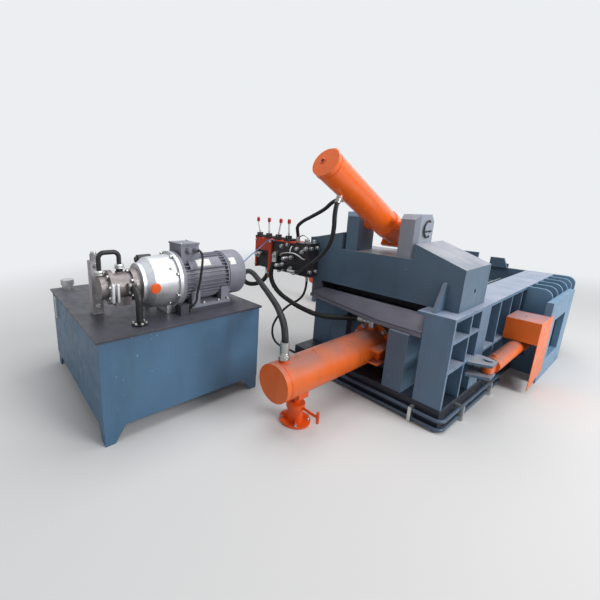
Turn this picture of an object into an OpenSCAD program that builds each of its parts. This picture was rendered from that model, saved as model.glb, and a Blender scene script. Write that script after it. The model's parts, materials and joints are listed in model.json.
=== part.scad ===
// Four-cylinder hydraulic baler with its power unit and lever valve.
// Millimetres, +Z up, +X to the bale outlet, +Y along the main ram's push.
// The origin is on the floor under the middle of the press frame.

/* [Frame] */
// Width of the press frame between the outer faces of its side walls
frame_w = 1072; // [1040:2:1140]
// Length of the press frame from its front face to its end plate
frame_l = 2150; // [2130:5:2250]
// Height of the side walls
frame_h = 668; // [660:1:690]
// Height of the base beams
base_h = 130; // [120:1:134]
// Depth of the ribbed side walls
wall_t = 195; // [185:1:200]
// Thickness of the wall, deck and end plates
plate_t = 20; // [16:1:24]
// Thickness of the ribs and shelves
rib_t = 16; // [12:1:20]
// Height of the lower shelf in the right wall
shelf_low_z = 360; // [352:1:370]
// Height of the upper shelf in the right wall
shelf_top_z = 535; // [500:1:580]
// Distance from the front face to the middle of the frame
front_to_origin = 1000; // [900:10:1100]

/* [Press box] */
// Thickness of the floor liner
floor_t = 20; // [12:1:22]
// Height between the floor liner and the closed lid
press_h = 290; // [286:1:294]
// Length of the finished bale along the frame
bale_l = 345; // [320:1:350]
// Distance from the front face to the far face of the press box
box_end_y = 1690; // [1685:1:1700]
// Underside height of the deck over the main ram
deck_z = 505; // [495:1:515]
// Running gap between a ram and its walls
ram_gap = 4; // [3:0.5:6]

/* [Bridge beam] */
// Distance from the front face to the beam
beam_y = 130; // [125:1:140]
// Depth of the beam
beam_d = 385; // [375:1:387]
// Height of the beam's flat top between the cheeks
beam_top_z = 930; // [915:1:932]
// Thickness of the beam's plates
beam_t = 25; // [18:1:30]
// Thickness of each trunnion cheek
cheek_t = 108; // [100:1:112]
// Height of the cheeks' tops
cheek_top_z = 1195; // [1185:1:1230]

/* [Main cylinder] */
// Outer diameter of the main cylinder
main_od = 219; // [205:1:230]
// Bore of the main cylinder
main_bore = 180; // [170:1:184]
// Diameter of the main rod
main_rod_d = 125; // [110:1:135]
// Height of the main cylinder's axis
main_z = 300; // [296:1:304]
// Distance that the main cylinder stands out of the front face
main_out = 780; // [775:1:900]

/* [Side cylinder] */
// Outer diameter of the side cylinder
side_od = 168; // [160:1:180]
// Bore of the side cylinder
side_bore = 140; // [130:1:144]
// Diameter of the side rod
side_rod_d = 90; // [80:1:100]
// Stroke of the side ram
side_stroke = 880; // [700:5:880]

/* [Gate] */
// Thickness of the sliding gate
gate_t = 50; // [40:1:54]
// Stroke of the gate
gate_stroke = 360; // [350:1:380]
// Number of yokes over the gate
yoke_n = 6; // [6:1:6]
// Thickness of a yoke
yoke_t = 20; // [14:1:22]
// Outer diameter of the gate cylinder
gate_cyl_od = 92; // [86:1:94]
// Height of the gate cylinder's axis
gate_cyl_z = 307; // [300:1:310]

/* [Lid] */
// Thickness of the lid's bottom slab
lid_t = 60; // [50:1:66]
// Outer diameter of the lid cylinder
lid_od = 159; // [150:1:162]
// Bore of the lid cylinder
lid_bore = 125; // [115:1:130]
// Diameter of the lid rod
lid_rod_d = 60; // [50:1:70]
// Slope of the lid cylinder with the lid down
lid_slope = 26.3; // [26:0.1:26.6]

/* [Power unit] */
// Width of the tank across the frame
tank_w = 1150; // [1100:5:1200]
// Length of the tank along the frame
tank_l = 1032; // [1000:2:1060]
// Height of the tank's top
tank_h = 588; // [560:1:600]
// Height of the tank's feet
tank_foot = 90; // [70:1:110]
// Outer diameter of the motor's finned body
motor_d = 290; // [270:1:300]
// Diameter of the motor flange and the bell housing's ring
flange_d = 350; // [340:1:352]
// Height of the motor's shaft above the tank
shaft_h = 188; // [186:1:200]

/* [Valve] */
// Number of valve sections, one for each cylinder
valve_n = 4; // [4:1:4]
// Spacing of the valve sections
valve_pitch = 112; // [100:1:116]

/* [Hidden] */
$fn = 64;
eps = 0.01;
fit = 0.05;

// Main levels and faces
fy = -front_to_origin;
xo = frame_w / 2;
xi = xo - wall_t;
z_floor = base_h + floor_t;
z_lid = z_floor + press_h;
y_out = box_end_y - bale_l;
deck_top = deck_z + 25;
ram_face_y = 545;
mount_y = 215;
mount_t = 60;
beam_back = beam_y + beam_d;
rib_ys = [236, 734, 967];
strip_y0 = 391;
strip_y1 = 547;
col_w = 152;
pil_x0 = 193;
pil_x1 = 312;
blk_x = 681;
yoke_y0 = 1320;
gate_x0 = 552;
gate_x1 = gate_x0 + gate_t;
gate_z0 = 135;
gate_z1 = 474;
side_y = (y_out + box_end_y) / 2;
cross_rib_y = 1920;
lid_rib_y = 1240;
side_z = 295;
side_end = xo + 60 + side_stroke + 150;
tk_x1 = -404;
tk_x0 = tk_x1 - tank_w;
tk_y0 = -1564;
tk_y1 = tk_y0 + tank_l;
mx = -672;
mz = tank_h + shaft_h;
term_z = 925;
lv_x0 = -1030;
lv_y = 16;
// Lean of each lever knob along X from its pivot
knob_lean = [-28, -5, 18, -4];

// Hose routes, with Y from the front face
main_1_route = [[-960, 60, 679.7], [-960, 60, 655], [-963, 48, 610], [-972, 10, 570],
    [-985, -55, 550], [-988, -135, 562], [-962, -208, 608], [-895, -268, 672],
    [-800, -312, 722], [-700, -350, 735], [-600, -390, 722], [-470, -448, 697],
    [-335, -510, 672], [-195, -582, 648], [-118, -630, 632], [-62, -666, 614],
    [-24, -691, 590], [-5, -704, 560], [0, -707, 540], [0, -707, 520.3]];
main_2_route = [[-795, -28, 814.7], [-795, -28, 795], [-805, -34, 745], [-814, -42, 680],
    [-796, -40, 605], [-735, -28, 535], [-625, -5, 478], [-475, 10, 442], [-345, 30, 430],
    [-250, 68, 437], [-180, 112, 446], [-125, 145, 453], [-90, 155, 455], [-60.3, 155, 455]];
lid_1_route = [[-36, -300.2, 1278.5], [-36, -316, 1246.5], [-36, -325, 1190], [-45, -310, 1120],
    [-85, -268, 1040], [-170, -205, 958], [-275, -140, 885], [-400, -80, 812],
    [-475, -50, 768], [-530, -29, 736], [-570, -22, 722], [-599.7, -22, 722]];
lid_2_route = [[-134.3, -110, 1274], [-168, -110, 1274], [-215, -104, 1260], [-295, -82, 1212],
    [-415, -58, 1158], [-520, -38, 1112], [-588, -6, 1072], [-622, 32, 1036],
    [-637, 58, 1000], [-640, 65, 978], [-640, 65, 964.3]];
gate_route = [[-520, 60, 679.7], [-520, 60, 650], [-522, 56, 595], [-535, 48, 540],
    [-575, 44, 490], [-630, 40, 450], [-705, 20, 375], [-758, -5, 285], [-785, -20, 185],
    [-755, -25, 105], [-675, -23, 70], [-570, -22, 74], [-500, -22, 74], [-460.3, -22, 74]];
cable_route = [[-561.7, -905, 958], [-546, -905, 958], [-520, -906, 947], [-505, -909, 922],
    [-500, -914, 880], [-501, -919, 835], [-504, -926, 785], [-508, -935, 740],
    [-511, -942, 700], [-510, -946, 672], [-509, -955, 653], [-510, -966, 640], [-512.5, -976, 632],
    [-518, -985, 627], [-524, -991.5, 625.2], [-527, -995.5, 625], [-527, -999.7, 625]];

// A block between two corners, with y counted from the front face
module slab(x0, x1, y0, y1, z0, z1) {
    translate([x0, fy + y0, z0])
        cube([x1 - x0, y1 - y0, z1 - z0]);
}

// A round bar along Y, with y counted from the front face
module bar_y(x, y0, y1, z, r) {
    translate([x, fy + y0, z])
        rotate([-90, 0, 0])
            cylinder(h = y1 - y0, r = r);
}

// A round bar along X
module bar_x(x0, x1, y, z, r) {
    translate([x0, fy + y, z])
        rotate([0, 90, 0])
            cylinder(h = x1 - x0, r = r);
}

// A round bar along Z
module bar_z(x, y, z0, z1, r) {
    translate([x, fy + y, z0])
        cylinder(h = z1 - z0, r = r);
}

// A plate across the frame: an outline in X and Z, given depth along Y
module plate_xz(y0, y1) {
    translate([0, fy + y1, 0])
        rotate([90, 0, 0])
            linear_extrude(height = y1 - y0)
                children();
}

// A plate along the frame: an outline in Y and Z, given depth along X
module plate_yz(x0, x1) {
    translate([x0, fy, 0])
        rotate([90, 0, 90])
            linear_extrude(height = x1 - x0)
                children();
}

// Base of two long beams, cross beams and a floor plate
module base_frame() {
    color("#54626e")
        difference() {
            union() {
                slab(xi, xo, 0, frame_l, 0, base_h);
                slab(-xo, -xi, 0, frame_l, 0, base_h);
                slab(-xi, xi, 0, 150, 0, base_h);
                slab(-xi, xi, front_to_origin - 75, front_to_origin + 75, 0, base_h);
                slab(-xi, xi, frame_l - 150, frame_l, 0, base_h);
                slab(-xi, xi, 150, frame_l - 150, base_h - plate_t, base_h);
            }
            slab(xi + 15, xo - 15, 15, frame_l - 15, -1, base_h - plate_t);
            slab(-xo + 15, -xi - 15, 15, frame_l - 15, -1, base_h - plate_t);
            slab(-xi + 1, xi - 1, 15, 135, -1, base_h - plate_t);
            slab(-xi + 1, xi - 1, frame_l - 135, frame_l - 15, -1, base_h - plate_t);
        }
}

// Ribbed side wall on the outlet side, from the given distance back
module wall_shell(y_skin, y_top) {
    difference() {
        slab(xi, xi + plate_t, y_skin, frame_l, base_h, frame_h - plate_t);
        slab(xi - 1, xi + plate_t + 1, y_out, box_end_y, base_h - 1, z_lid + 12);
    }
    slab(xi, xo, y_top, frame_l, frame_h - plate_t, frame_h);
    slab(xi + plate_t, xo, y_out - plate_t, y_out, base_h, frame_h - plate_t);
    slab(xi + plate_t, xo, box_end_y, box_end_y + plate_t, base_h, frame_h - plate_t);
    slab(xi + plate_t, xo, y_out, box_end_y, z_lid + 12, z_lid + 12 + plate_t);
    slab(xi + plate_t, xo, 1202, 1202 + rib_t, base_h, frame_h - plate_t);
    slab(xi + plate_t, xo, cross_rib_y, cross_rib_y + rib_t, base_h, frame_h - plate_t);
    slab(xi + plate_t, xo, frame_l - plate_t, frame_l, base_h, frame_h - plate_t);
}

module wall_right() {
    color("#5d7f9a") {
        wall_shell(mount_y, 0);
        slab(xo - col_w, xo, 0, plate_t, base_h, frame_h - plate_t);
        for (y = rib_ys)
            slab(xi + plate_t, xo, y, y + rib_t, base_h, frame_h - plate_t);
        slab(xi + plate_t, xo, strip_y0, strip_y0 + rib_t, base_h, frame_h - plate_t);
        slab(xi + plate_t, xo, strip_y1 - rib_t, strip_y1, base_h, frame_h - plate_t);
        slab(xo - rib_t, xo, strip_y0 + rib_t, strip_y1 - rib_t, base_h, frame_h - plate_t);
        slab(xo - col_w, xo, plate_t, 236, shelf_top_z - rib_t, shelf_top_z);
        slab(xi + plate_t, xo, 236 + rib_t, strip_y0, shelf_top_z - rib_t, shelf_top_z);
        slab(xo - col_w, xo, plate_t, 236, shelf_low_z - rib_t, shelf_low_z);
        slab(xi + plate_t, xo, 236 + rib_t, strip_y0, shelf_low_z - rib_t, shelf_low_z);
        slab(xi + plate_t, xo, strip_y1, 734, shelf_low_z - rib_t, shelf_low_z);
        slab(xi + plate_t, xo, 734 + rib_t, 967, shelf_low_z - rib_t, shelf_low_z);
    }
}

// Side wall away from the outlet, lower in front where the deck covers it
module wall_left() {
    color("#5d7f9a")
        mirror([1, 0, 0]) {
            difference() {
                wall_shell(590, 590);
                slab(xi, xo, 580, 590, 0, frame_h);
            }
            slab(xi, xi + plate_t, mount_y, 590, base_h, deck_z);
            slab(xi + plate_t, xo, mount_y, mount_y + rib_t, base_h, deck_z);
            slab(xi + plate_t, xo, strip_y0, strip_y0 + rib_t, base_h, deck_z);
            slab(xi + plate_t, xo, 590, 590 + rib_t, base_h, frame_h - plate_t);
            slab(xi + plate_t, xo, 734, 734 + rib_t, base_h, frame_h - plate_t);
            slab(xi + plate_t, xo, 967, 967 + rib_t, base_h, frame_h - plate_t);
            slab(xi + plate_t, xo, 590 + rib_t, 734, shelf_low_z - rib_t, shelf_low_z);
            slab(xi + plate_t, xo, 734 + rib_t, 967, shelf_low_z - rib_t, shelf_low_z);
        }
}

// Front pillars and the thick plate that carries the main cylinder
module cylinder_mount() {
    color("#4a5a6c") {
        slab(pil_x0, pil_x1, 0, plate_t, base_h, deck_z);
        slab(pil_x0, pil_x0 + rib_t, plate_t, mount_y, base_h, deck_z);
        slab(pil_x1 - rib_t, pil_x1, plate_t, mount_y, base_h, deck_z);
        slab(-pil_x1, -pil_x0, 150, 150 + plate_t, base_h, deck_z);
        slab(-pil_x0 - rib_t, -pil_x0, 150 + plate_t, mount_y, base_h, deck_z);
        slab(-pil_x1, -pil_x1 + rib_t, 150 + plate_t, mount_y, base_h, deck_z);
        difference() {
            slab(-xi, xi, mount_y, mount_y + mount_t, base_h, deck_z);
            bar_y(0, mount_y - 1, mount_y + mount_t + 1, main_z, main_rod_d / 2 + 18);
        }
    }
}

// Deck over the channel, with the lid's hinge ears and the beam's left foot
module deck_plate() {
    color("#6b7f93") {
        translate([0, fy, deck_z])
            linear_extrude(height = deck_top - deck_z)
                polygon([[94, 20], [371, 20], [371, mount_y], [xi, mount_y], [xi, 583],
                    [-575, 583], [-575, 185]]);
        for (x = [-250, -150, 120, 220])
            hinge_ear(x);
        lid_pins();
        plate_xz(200, 220)
            polygon([[-575, deck_top], [-430, deck_top], [-500, frame_h], [-575, frame_h]]);
        slab(-575, -555, 220, 515, deck_top, frame_h);
        slab(-555, xi, beam_back - 20, beam_back, deck_top, frame_h);
    }
}

module hinge_ear(x) {
    difference() {
        plate_yz(x, x + 30)
            union() {
                polygon([[520, deck_top], [583, deck_top], [612, 700], [538, 700]]);
                translate([575, 700])
                    circle(r = 37);
            }
        bar_x(x - 1, x + 31, 575, 700, 20 + fit);
    }
}

// Ribbed end wall of the press box, with two upright stops on top
module end_wall() {
    color("#4d5d6e") {
        slab(-xi, xi, box_end_y, box_end_y + 50, base_h, 500);
        slab(-xi, xi, frame_l - plate_t, frame_l, base_h, frame_h);
        for (x = [-230, -100, 30, 160, 250])
            slab(x, x + rib_t, box_end_y + 50, frame_l - plate_t, base_h, 560);
        slab(-xi, xi, cross_rib_y, cross_rib_y + rib_t, base_h, 560);
        slab(-291, -44, frame_l - 45, frame_l - 20, frame_h, 790);
        slab(-291, -44, frame_l - 20, frame_l, frame_h, frame_h + 40);
        plate_xz(frame_l - 45, frame_l - 20)
            polygon([[62, frame_h], [205, frame_h], [169, 760], [62, 760]]);
        slab(62, 205, frame_l - 20, frame_l, frame_h, frame_h + 40);
    }
}

module floor_liner() {
    color("#7c7f80") {
        slab(-xi, xi, mount_y + mount_t, box_end_y, base_h, z_floor);
        slab(xi, xo, y_out, box_end_y, base_h, z_floor);
        slab(-xo, -xi, y_out, box_end_y, base_h, z_floor);
    }
}

// Box beam over the channel, open underneath, with its gusset
module bridge_beam() {
    color("#41556a") {
        difference() {
            plate_xz(beam_y, beam_back)
                polygon([[-564, frame_h], [500, frame_h], [500, 912], [216, 1025],
                    [216, beam_top_z], [-283, beam_top_z], [-283, 1050], [-540, 992], [-564, 992]]);
            plate_xz(beam_y + beam_t, beam_back - beam_t)
                polygon([[-539, frame_h - 1], [475, frame_h - 1], [475, 895], [241, 988],
                    [241, beam_top_z - 40], [-308, beam_top_z - 40], [-308, 1015], [-539, 963]]);
            bar_x(470, 501, 320, 770, 14);
        }
        plate_yz(405, 425)
            polygon([[20, frame_h], [beam_y, frame_h], [beam_y, 827], [112, 827]]);
    }
}

// Two trunnion cheeks with their keepers
module trunnion_cheeks() {
    color("#3d4f62") {
        cheek(216 - cheek_t, 216, 1);
        cheek(-283, -283 + cheek_t, -1);
    }
}

// One cheek, its bore closed on the outer side by a raised disc
module cheek(x0, x1, side) {
    difference() {
        union() {
            plate_yz(x0, x1)
                polygon([[143, beam_top_z], [340, beam_top_z], [340, 1150], [300, cheek_top_z],
                    [170, cheek_top_z], [143, 1165]]);
            bar_x(side > 0 ? x1 : x0 - 5, side > 0 ? x1 + 5 : x0, 252, 1108, 56);
        }
        bar_x(side > 0 ? x0 - 1 : x0 + 8, side > 0 ? x1 - 8 : x1 + 1, 245, 1121, 40 + fit);
        translate([0, fy, beam_top_z - 1])
            linear_extrude(height = 320)
                polygon(side > 0
                    ? [[x1 - 24, 142], [x1 + 1, 142], [x1 + 1, 168]]
                    : [[x0 - 1, 142], [x0 + 24, 142], [x0 - 1, 168]]);
    }
}

// Ribs over the sliding gate, cut where the gate and the bale pass
module gate_yokes() {
    color("#6fa3c4")
        for (i = [0 : yoke_n - 1])
            gate_yoke(yoke_y0 + i * (frame_l - yoke_t - yoke_y0) / (yoke_n - 1));
}

module gate_yoke(y) {
    cut = (y + yoke_t > y_out && y < box_end_y) ? 1 : 0;
    difference() {
        plate_xz(y, y + yoke_t)
            union() {
                polygon([[xo, 0], [blk_x, 0], [blk_x, frame_h - 60], [blk_x - 18, frame_h - 18],
                    [blk_x - 60, frame_h], [xo, frame_h]]);
                translate([blk_x - 60, frame_h - 60])
                    circle(r = 60);
            }
        slab(xo - 1, gate_x1 + 4, y - 1, y + yoke_t + 1, gate_z0 - 4, gate_z1 + 4);
        slab(xo - 1, 656, y - 1, y + yoke_t + 1, gate_cyl_z - 31, gate_cyl_z + 31);
        if (cut)
            slab(xo - 1, blk_x + 1, y - 1, y + yoke_t + 1, z_floor - 16, 458);
    }
}

// Thick outer plate with the outlet window
module gate_frame() {
    color("#78a9c8") {
        difference() {
            slab(blk_x, blk_x + 38, 1175, 1880, 0, 605);
            slab(blk_x - 1, blk_x + 39, y_out, box_end_y, z_floor, 452);
        }
        slab(gate_x1 + 5, blk_x, y_out + 4, yoke_at(1) - 2, z_floor - 16, z_floor);
    }
}

// Guide rails above and below the gate, with lips that hold it in
module gate_guides() {
    color("#7c7f80") {
        slab(xo, gate_x1 + 4, yoke_at(0) + yoke_t, yoke_at(1), gate_z1 + 4, gate_z1 + 24);
        slab(xo, gate_x1 + 4, yoke_at(0) + yoke_t, yoke_at(1), gate_z0 - 24, gate_z0 - 4);
        slab(xo, gate_x1 + 4, yoke_at(1) + yoke_t, yoke_at(2), gate_z1 + 4, gate_z1 + 24);
        slab(xo, gate_x1 + 4, yoke_at(1) + yoke_t, yoke_at(2), gate_z0 - 24, gate_z0 - 4);
        slab(xo, gate_x1 + 4, yoke_at(2) + yoke_t, yoke_at(3), gate_z1 + 4, gate_z1 + 24);
        slab(xo, gate_x1 + 4, yoke_at(2) + yoke_t, yoke_at(3), gate_z0 - 24, gate_z0 - 4);
        slab(xo, gate_x1 + 4, yoke_at(3) + yoke_t, yoke_at(4), gate_z1 + 4, gate_z1 + 24);
        slab(xo, gate_x1 + 4, yoke_at(3) + yoke_t, yoke_at(4), gate_z0 - 24, gate_z0 - 4);
        slab(xo, gate_x1 + 4, yoke_at(4) + yoke_t, yoke_at(5), gate_z1 + 4, gate_z1 + 24);
        slab(xo, gate_x1 + 4, yoke_at(4) + yoke_t, yoke_at(5), gate_z0 - 24, gate_z0 - 4);
    }
}

function yoke_at(i) = yoke_y0 + i * (frame_l - yoke_t - yoke_y0) / (yoke_n - 1);

// Sheet cover over the gate cylinder's rod
module gate_hood() {
    color("#e8662a") {
        slab(xo, blk_x + 5, 930, 1175, 502, 505);
        slab(xo, blk_x, 1175, yoke_y0, 502, 505);
        slab(blk_x + 2, blk_x + 5, 930, 1175, 25, 502);
        slab(xo, blk_x + 2, 930, 933, 356, 502);
        slab(xo, xo + 8, 933, 1175, 490, 502);
    }
}

// Two plates that hold the gate cylinder's pin
module gate_bracket() {
    color("#e8662a") {
        gate_ear(gate_cyl_z + 30);
        gate_ear(gate_cyl_z - 46);
        gate_pin();
    }
}

module gate_ear(z) {
    difference() {
        translate([0, fy, z])
            linear_extrude(height = 16)
                polygon([[xo, 283], [541, 283], [649, 338], [646, 436], [575, 458], [xo, 460]]);
        bar_z(611, 400, z - 1, z + 17, 16 + fit);
    }
}

module gate_pin() {
    {
        bar_z(611, 400, gate_cyl_z - 52, gate_cyl_z + 50, 16);
        bar_z(611, 400, gate_cyl_z + 50, gate_cyl_z + 56, 22);
        bar_z(611, 400, gate_cyl_z - 58, gate_cyl_z - 52, 22);
    }
}

module gate_cylinder() {
    color("#e8662a") {
        difference() {
            union() {
                bar_y(611, 462, 1060, gate_cyl_z, gate_cyl_od / 2);
                slab(583, 639, 400, 470, gate_cyl_z - 26, gate_cyl_z + 26);
                bar_z(611, 400, gate_cyl_z - 26, gate_cyl_z + 26, 28);
                bar_y(611, 1040, 1062, gate_cyl_z, gate_cyl_od / 2 + 7);
                bar_z(611, 500, gate_cyl_z, gate_cyl_z + gate_cyl_od / 2 + 16, 13);
                bar_z(611, 1020, gate_cyl_z, gate_cyl_z + gate_cyl_od / 2 + 16, 13);
            }
            bar_y(611, 490, 1045, gate_cyl_z, 35);
            bar_y(611, 1040, 1063, gate_cyl_z, 20 + fit);
            bar_z(611, 400, gate_cyl_z - 30, gate_cyl_z + 30, 16 + fit);
        }
    }
}

module gate_rod() {
    color("#c9ccd0") {
        bar_y(611, 500, 540, gate_cyl_z, 35 - fit);
        bar_y(611, 540, 1110, gate_cyl_z, 20);
    }
}

// Sliding gate with the arm that its cylinder pushes
module gate() {
    color("#5d6f80") {
        slab(gate_x0, gate_x1, y_out - 10, box_end_y + 10, gate_z0, gate_z1);
        slab(575, gate_x1, 1140, y_out - 10, gate_cyl_z - 26, gate_cyl_z + 26);
        difference() {
            slab(575, 650, 1082, 1140, gate_cyl_z - 26, gate_cyl_z + 26);
            bar_y(611, 1081, 1110, gate_cyl_z, 20 + fit);
        }
    }
}

// Main cylinder with its flange, ports and side fins
module main_cylinder() {
    color("#e8662a") {
        difference() {
            union() {
                bar_y(0, -main_out, mount_y, main_z, main_od / 2);
                bar_y(0, mount_y - 30, mount_y, main_z, 145);
                bar_z(0, -707, main_z + main_od / 2 - 12, main_z + main_od / 2 + 14, 24);
                bar_z(0, 155, main_z + main_od / 2 - 12, main_z + main_od / 2 + 14, 24);
                slab(90, 165, -30, mount_y - 30, main_z + 36, main_z + 48);
                slab(90, 165, -30, mount_y - 30, main_z - 48, main_z - 36);
                slab(95, 140, 30, mount_y - 30, main_z - 36, main_z + 36);
            }
            bar_y(0, -main_out + 45, mount_y - 60, main_z, main_bore / 2);
            bar_y(0, mount_y - 61, mount_y + 1, main_z, main_rod_d / 2 + fit);
        }
    }
}

module main_rod() {
    color("#c9ccd0") {
        bar_y(0, -main_out + 50, -main_out + 130, main_z, main_bore / 2 - fit);
        bar_y(0, -main_out + 130, ram_face_y - 240, main_z, main_rod_d / 2);
    }
}

module main_ram() {
    color("#4a5866") {
        ram_w = xi - ram_gap;
        slab(-ram_w, ram_w, ram_face_y - 40, ram_face_y, z_floor + 2, z_lid - ram_gap);
        slab(-ram_w, ram_w, ram_face_y - 240, ram_face_y - 40, z_lid - ram_gap - 20, z_lid - ram_gap);
        slab(-ram_w, ram_w, ram_face_y - 240, ram_face_y - 40, z_floor + 2, z_floor + 22);
        for (x = [-ram_w, -120, 100, ram_w - 20])
            slab(x, x + 20, ram_face_y - 240, ram_face_y - 40, z_floor + 22, z_lid - ram_gap - 20);
        slab(-100, 100, ram_face_y - 240, ram_face_y - 200, z_floor + 22, z_lid - ram_gap - 20);
    }
}

module side_cylinder() {
    color("#e8662a")
        difference() {
            union() {
                bar_x(-side_end, -xo - 60, side_y, side_z, side_od / 2);
                bar_x(-xo - 88, -xo - 60, side_y, side_z, 120);
                bar_z(-side_end + 60, side_y, side_z + side_od / 2 - 12, side_z + side_od / 2 + 12, 20);
                bar_z(-xo - 120, side_y, side_z + side_od / 2 - 12, side_z + side_od / 2 + 12, 20);
            }
            bar_x(-side_end + 40, -xo - 110, side_y, side_z, side_bore / 2);
            bar_x(-xo - 111, -xo - 59, side_y, side_z, side_rod_d / 2 + fit);
        }
}

module side_mount() {
    color("#4a5a6c") {
        difference() {
            slab(-xo - 60, -xo, y_out - 40, box_end_y + 40, 60, 560);
            bar_x(-xo - 61, -xo + 1, side_y, side_z, side_rod_d / 2 + 14);
        }
        slab(-side_end + 80, -side_end + 120, side_y - 90, side_y + 90, 0, side_z - side_od / 2);
    }
}

module side_rod() {
    color("#c9ccd0") {
        bar_x(-side_end + 45, -side_end + 95, side_y, side_z, side_bore / 2 - fit);
        bar_x(-side_end + 95, -xi - 190, side_y, side_z, side_rod_d / 2);
    }
}

module side_ram() {
    color("#4a5866") {
        slab(-xi - 40, -xi, y_out + ram_gap, box_end_y - ram_gap, z_floor + 2, z_lid - ram_gap);
        slab(-xi - 190, -xi - 40, y_out + ram_gap, box_end_y - ram_gap, z_floor + 2, z_floor + 22);
        slab(-xi - 190, -xi - 40, y_out + ram_gap, box_end_y - ram_gap,
            z_lid - ram_gap - 20, z_lid - ram_gap);
        slab(-xi - 190, -xi - 40, y_out + ram_gap, y_out + ram_gap + 20,
            z_floor + 22, z_lid - ram_gap - 20);
        slab(-xi - 190, -xi - 40, box_end_y - ram_gap - 20, box_end_y - ram_gap,
            z_floor + 22, z_lid - ram_gap - 20);
        slab(-xi - 190, -xi - 150, side_y - 90, side_y + 90, z_floor + 22, z_lid - ram_gap - 20);
    }
}

// Press flap that closes the box from above
module lid() {
    color("#4a5866") {
        lw = xi - ram_gap;
        slab(-lw, lw, 640, box_end_y - 20, z_lid, z_lid + lid_t);
        for (x = [-lw, lw - 20])
            slab(x, x + 20, 640, box_end_y - 60, z_lid + lid_t, z_lid + lid_t + 60);
        slab(-lw + 20, lw - 20, box_end_y - 80, box_end_y - 60, z_lid + lid_t, z_lid + lid_t + 60);
        slab(-lw + 20, -120, lid_rib_y, lid_rib_y + 20, z_lid + lid_t, z_lid + lid_t + 60);
        slab(40, lw - 20, lid_rib_y, lid_rib_y + 20, z_lid + lid_t, z_lid + lid_t + 60);
        lid_arm(-216);
        lid_arm(154);
        lid_ear(-36 - 57);
        lid_ear(-36 + 37);
        bar_x(-36 - 37, -36 + 37, 890.4, 802, 30);
    }
}

module lid_arm(x) {
    difference() {
        plate_yz(x, x + 62)
            union() {
                polygon([[640, z_lid + lid_t - 1], [1150, z_lid + lid_t - 1], [1150, 540],
                    [900, 640], [585, 737], [540, 705], [560, 666]]);
                translate([575, 700])
                    circle(r = 38);
            }
        bar_x(x - 1, x + 63, 575, 700, 20 + fit);
    }
}

module lid_ear(x) {
    plate_yz(x, x + 20)
        union() {
            polygon([[760, z_lid + lid_t - 1], [1180, z_lid + lid_t - 1], [1180, 530],
                [945, 800], [836, 800], [760, 560]]);
            translate([890.4, 802])
                circle(r = 55);
        }
}

module lid_pins() {
    {
        bar_x(-256, -114, 575, 700, 20);
        bar_x(114, 256, 575, 700, 20);
    }
}

// Places a piece on the lid cylinder's axis, with Y from the trunnion
module on_lid_axis() {
    translate([-36, fy + 245, 1121])
        rotate([-lid_slope, 0, 0])
            children();
}

module round_y(y0, y1, r) {
    translate([0, y0, 0])
        rotate([-90, 0, 0])
            cylinder(h = y1 - y0, r = r);
}

module lid_cylinder() {
    color("#e8662a")
        on_lid_axis()
            difference() {
                union() {
                    round_y(-769, 193, lid_od / 2);
                    round_y(-40, 40, lid_od / 2 + 6);
                    translate([-86, 163, -86])
                        cube([172, 30, 172]);
                    translate([-238, 0, 0])
                        rotate([0, 90, 0])
                            cylinder(h = 476, r = 40);
                    translate([0, -728, 60])
                        cylinder(h = 36, r = 18);
                    translate([0, 130, 60])
                        cylinder(h = 36, r = 18);
                    translate([-70, -386, -20])
                        rotate([0, -90, 0])
                            cylinder(h = 28, r = 16);
                    translate([0, -558.5, -100])
                        cylinder(h = 30, r = 16);
                }
                round_y(-729, 164, lid_bore / 2);
                round_y(163, 194, lid_rod_d / 2 + fit);
            }
}

module lid_rod() {
    color("#c9ccd0")
        on_lid_axis() {
            round_y(98, 158, lid_bore / 2 - fit);
            round_y(158, 662, lid_rod_d / 2);
            difference() {
                translate([-33, 720, 0])
                    rotate([0, 90, 0])
                        cylinder(h = 66, r = 66);
                translate([-34, 720, 0])
                    rotate([0, 90, 0])
                        cylinder(h = 68, r = 44);
            }
        }
}

// Screw jack under the main cylinder's free end
module jack_base() {
    color("#e8662a")
        difference() {
            union() {
                bar_z(0, -583, 0, 12, 90);
                bar_z(0, -583, 12, 90, 46);
                for (a = [45 : 90 : 315])
                    translate([0, fy - 583, 0])
                        rotate([0, 0, a])
                            translate([42, -5, 12])
                                cube([38, 10, 30]);
            }
            bar_z(0, -583, 14, 91, 20 + fit);
        }
}

// Nut of the jack with its turning bar
module jack_nut() {
    color("#e8662a")
        difference() {
            union() {
                bar_z(0, -583, 90, 122, 54);
                bar_x(40, 168, -583, 106, 8);
                bar_z(160, -583, 72, 138, 9);
            }
            bar_z(0, -583, 89, 123, 20 + fit);
        }
}

// Screw of the jack with the saddle that carries the cylinder
module jack_screw() {
    color("#e8662a") {
        bar_z(0, -583, 46, main_z - main_od / 2 - 24, 20);
        difference() {
            slab(-55, 55, -623, -543, main_z - main_od / 2 - 24, main_z - main_od / 2 + 14);
            bar_y(0, -624, -542, main_z, main_od / 2 + 0.3);
        }
    }
}

// A quarter or half ring of round bar, standing in the Y and Z plane
module bend_yz(x, y, z, big, r, a0, a1) {
    translate([x, fy + y, z])
        rotate([90, 0, 90])
            rotate([0, 0, a0])
                rotate_extrude(angle = a1 - a0)
                    translate([big, 0])
                        circle(r = r);
}

// A quarter ring of round bar, lying flat
module bend_xy(x, y, z, big, r, a0, a1) {
    translate([x, fy + y, z])
        rotate([0, 0, a0])
            rotate_extrude(angle = a1 - a0)
                translate([big, 0])
                    circle(r = r);
}

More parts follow.
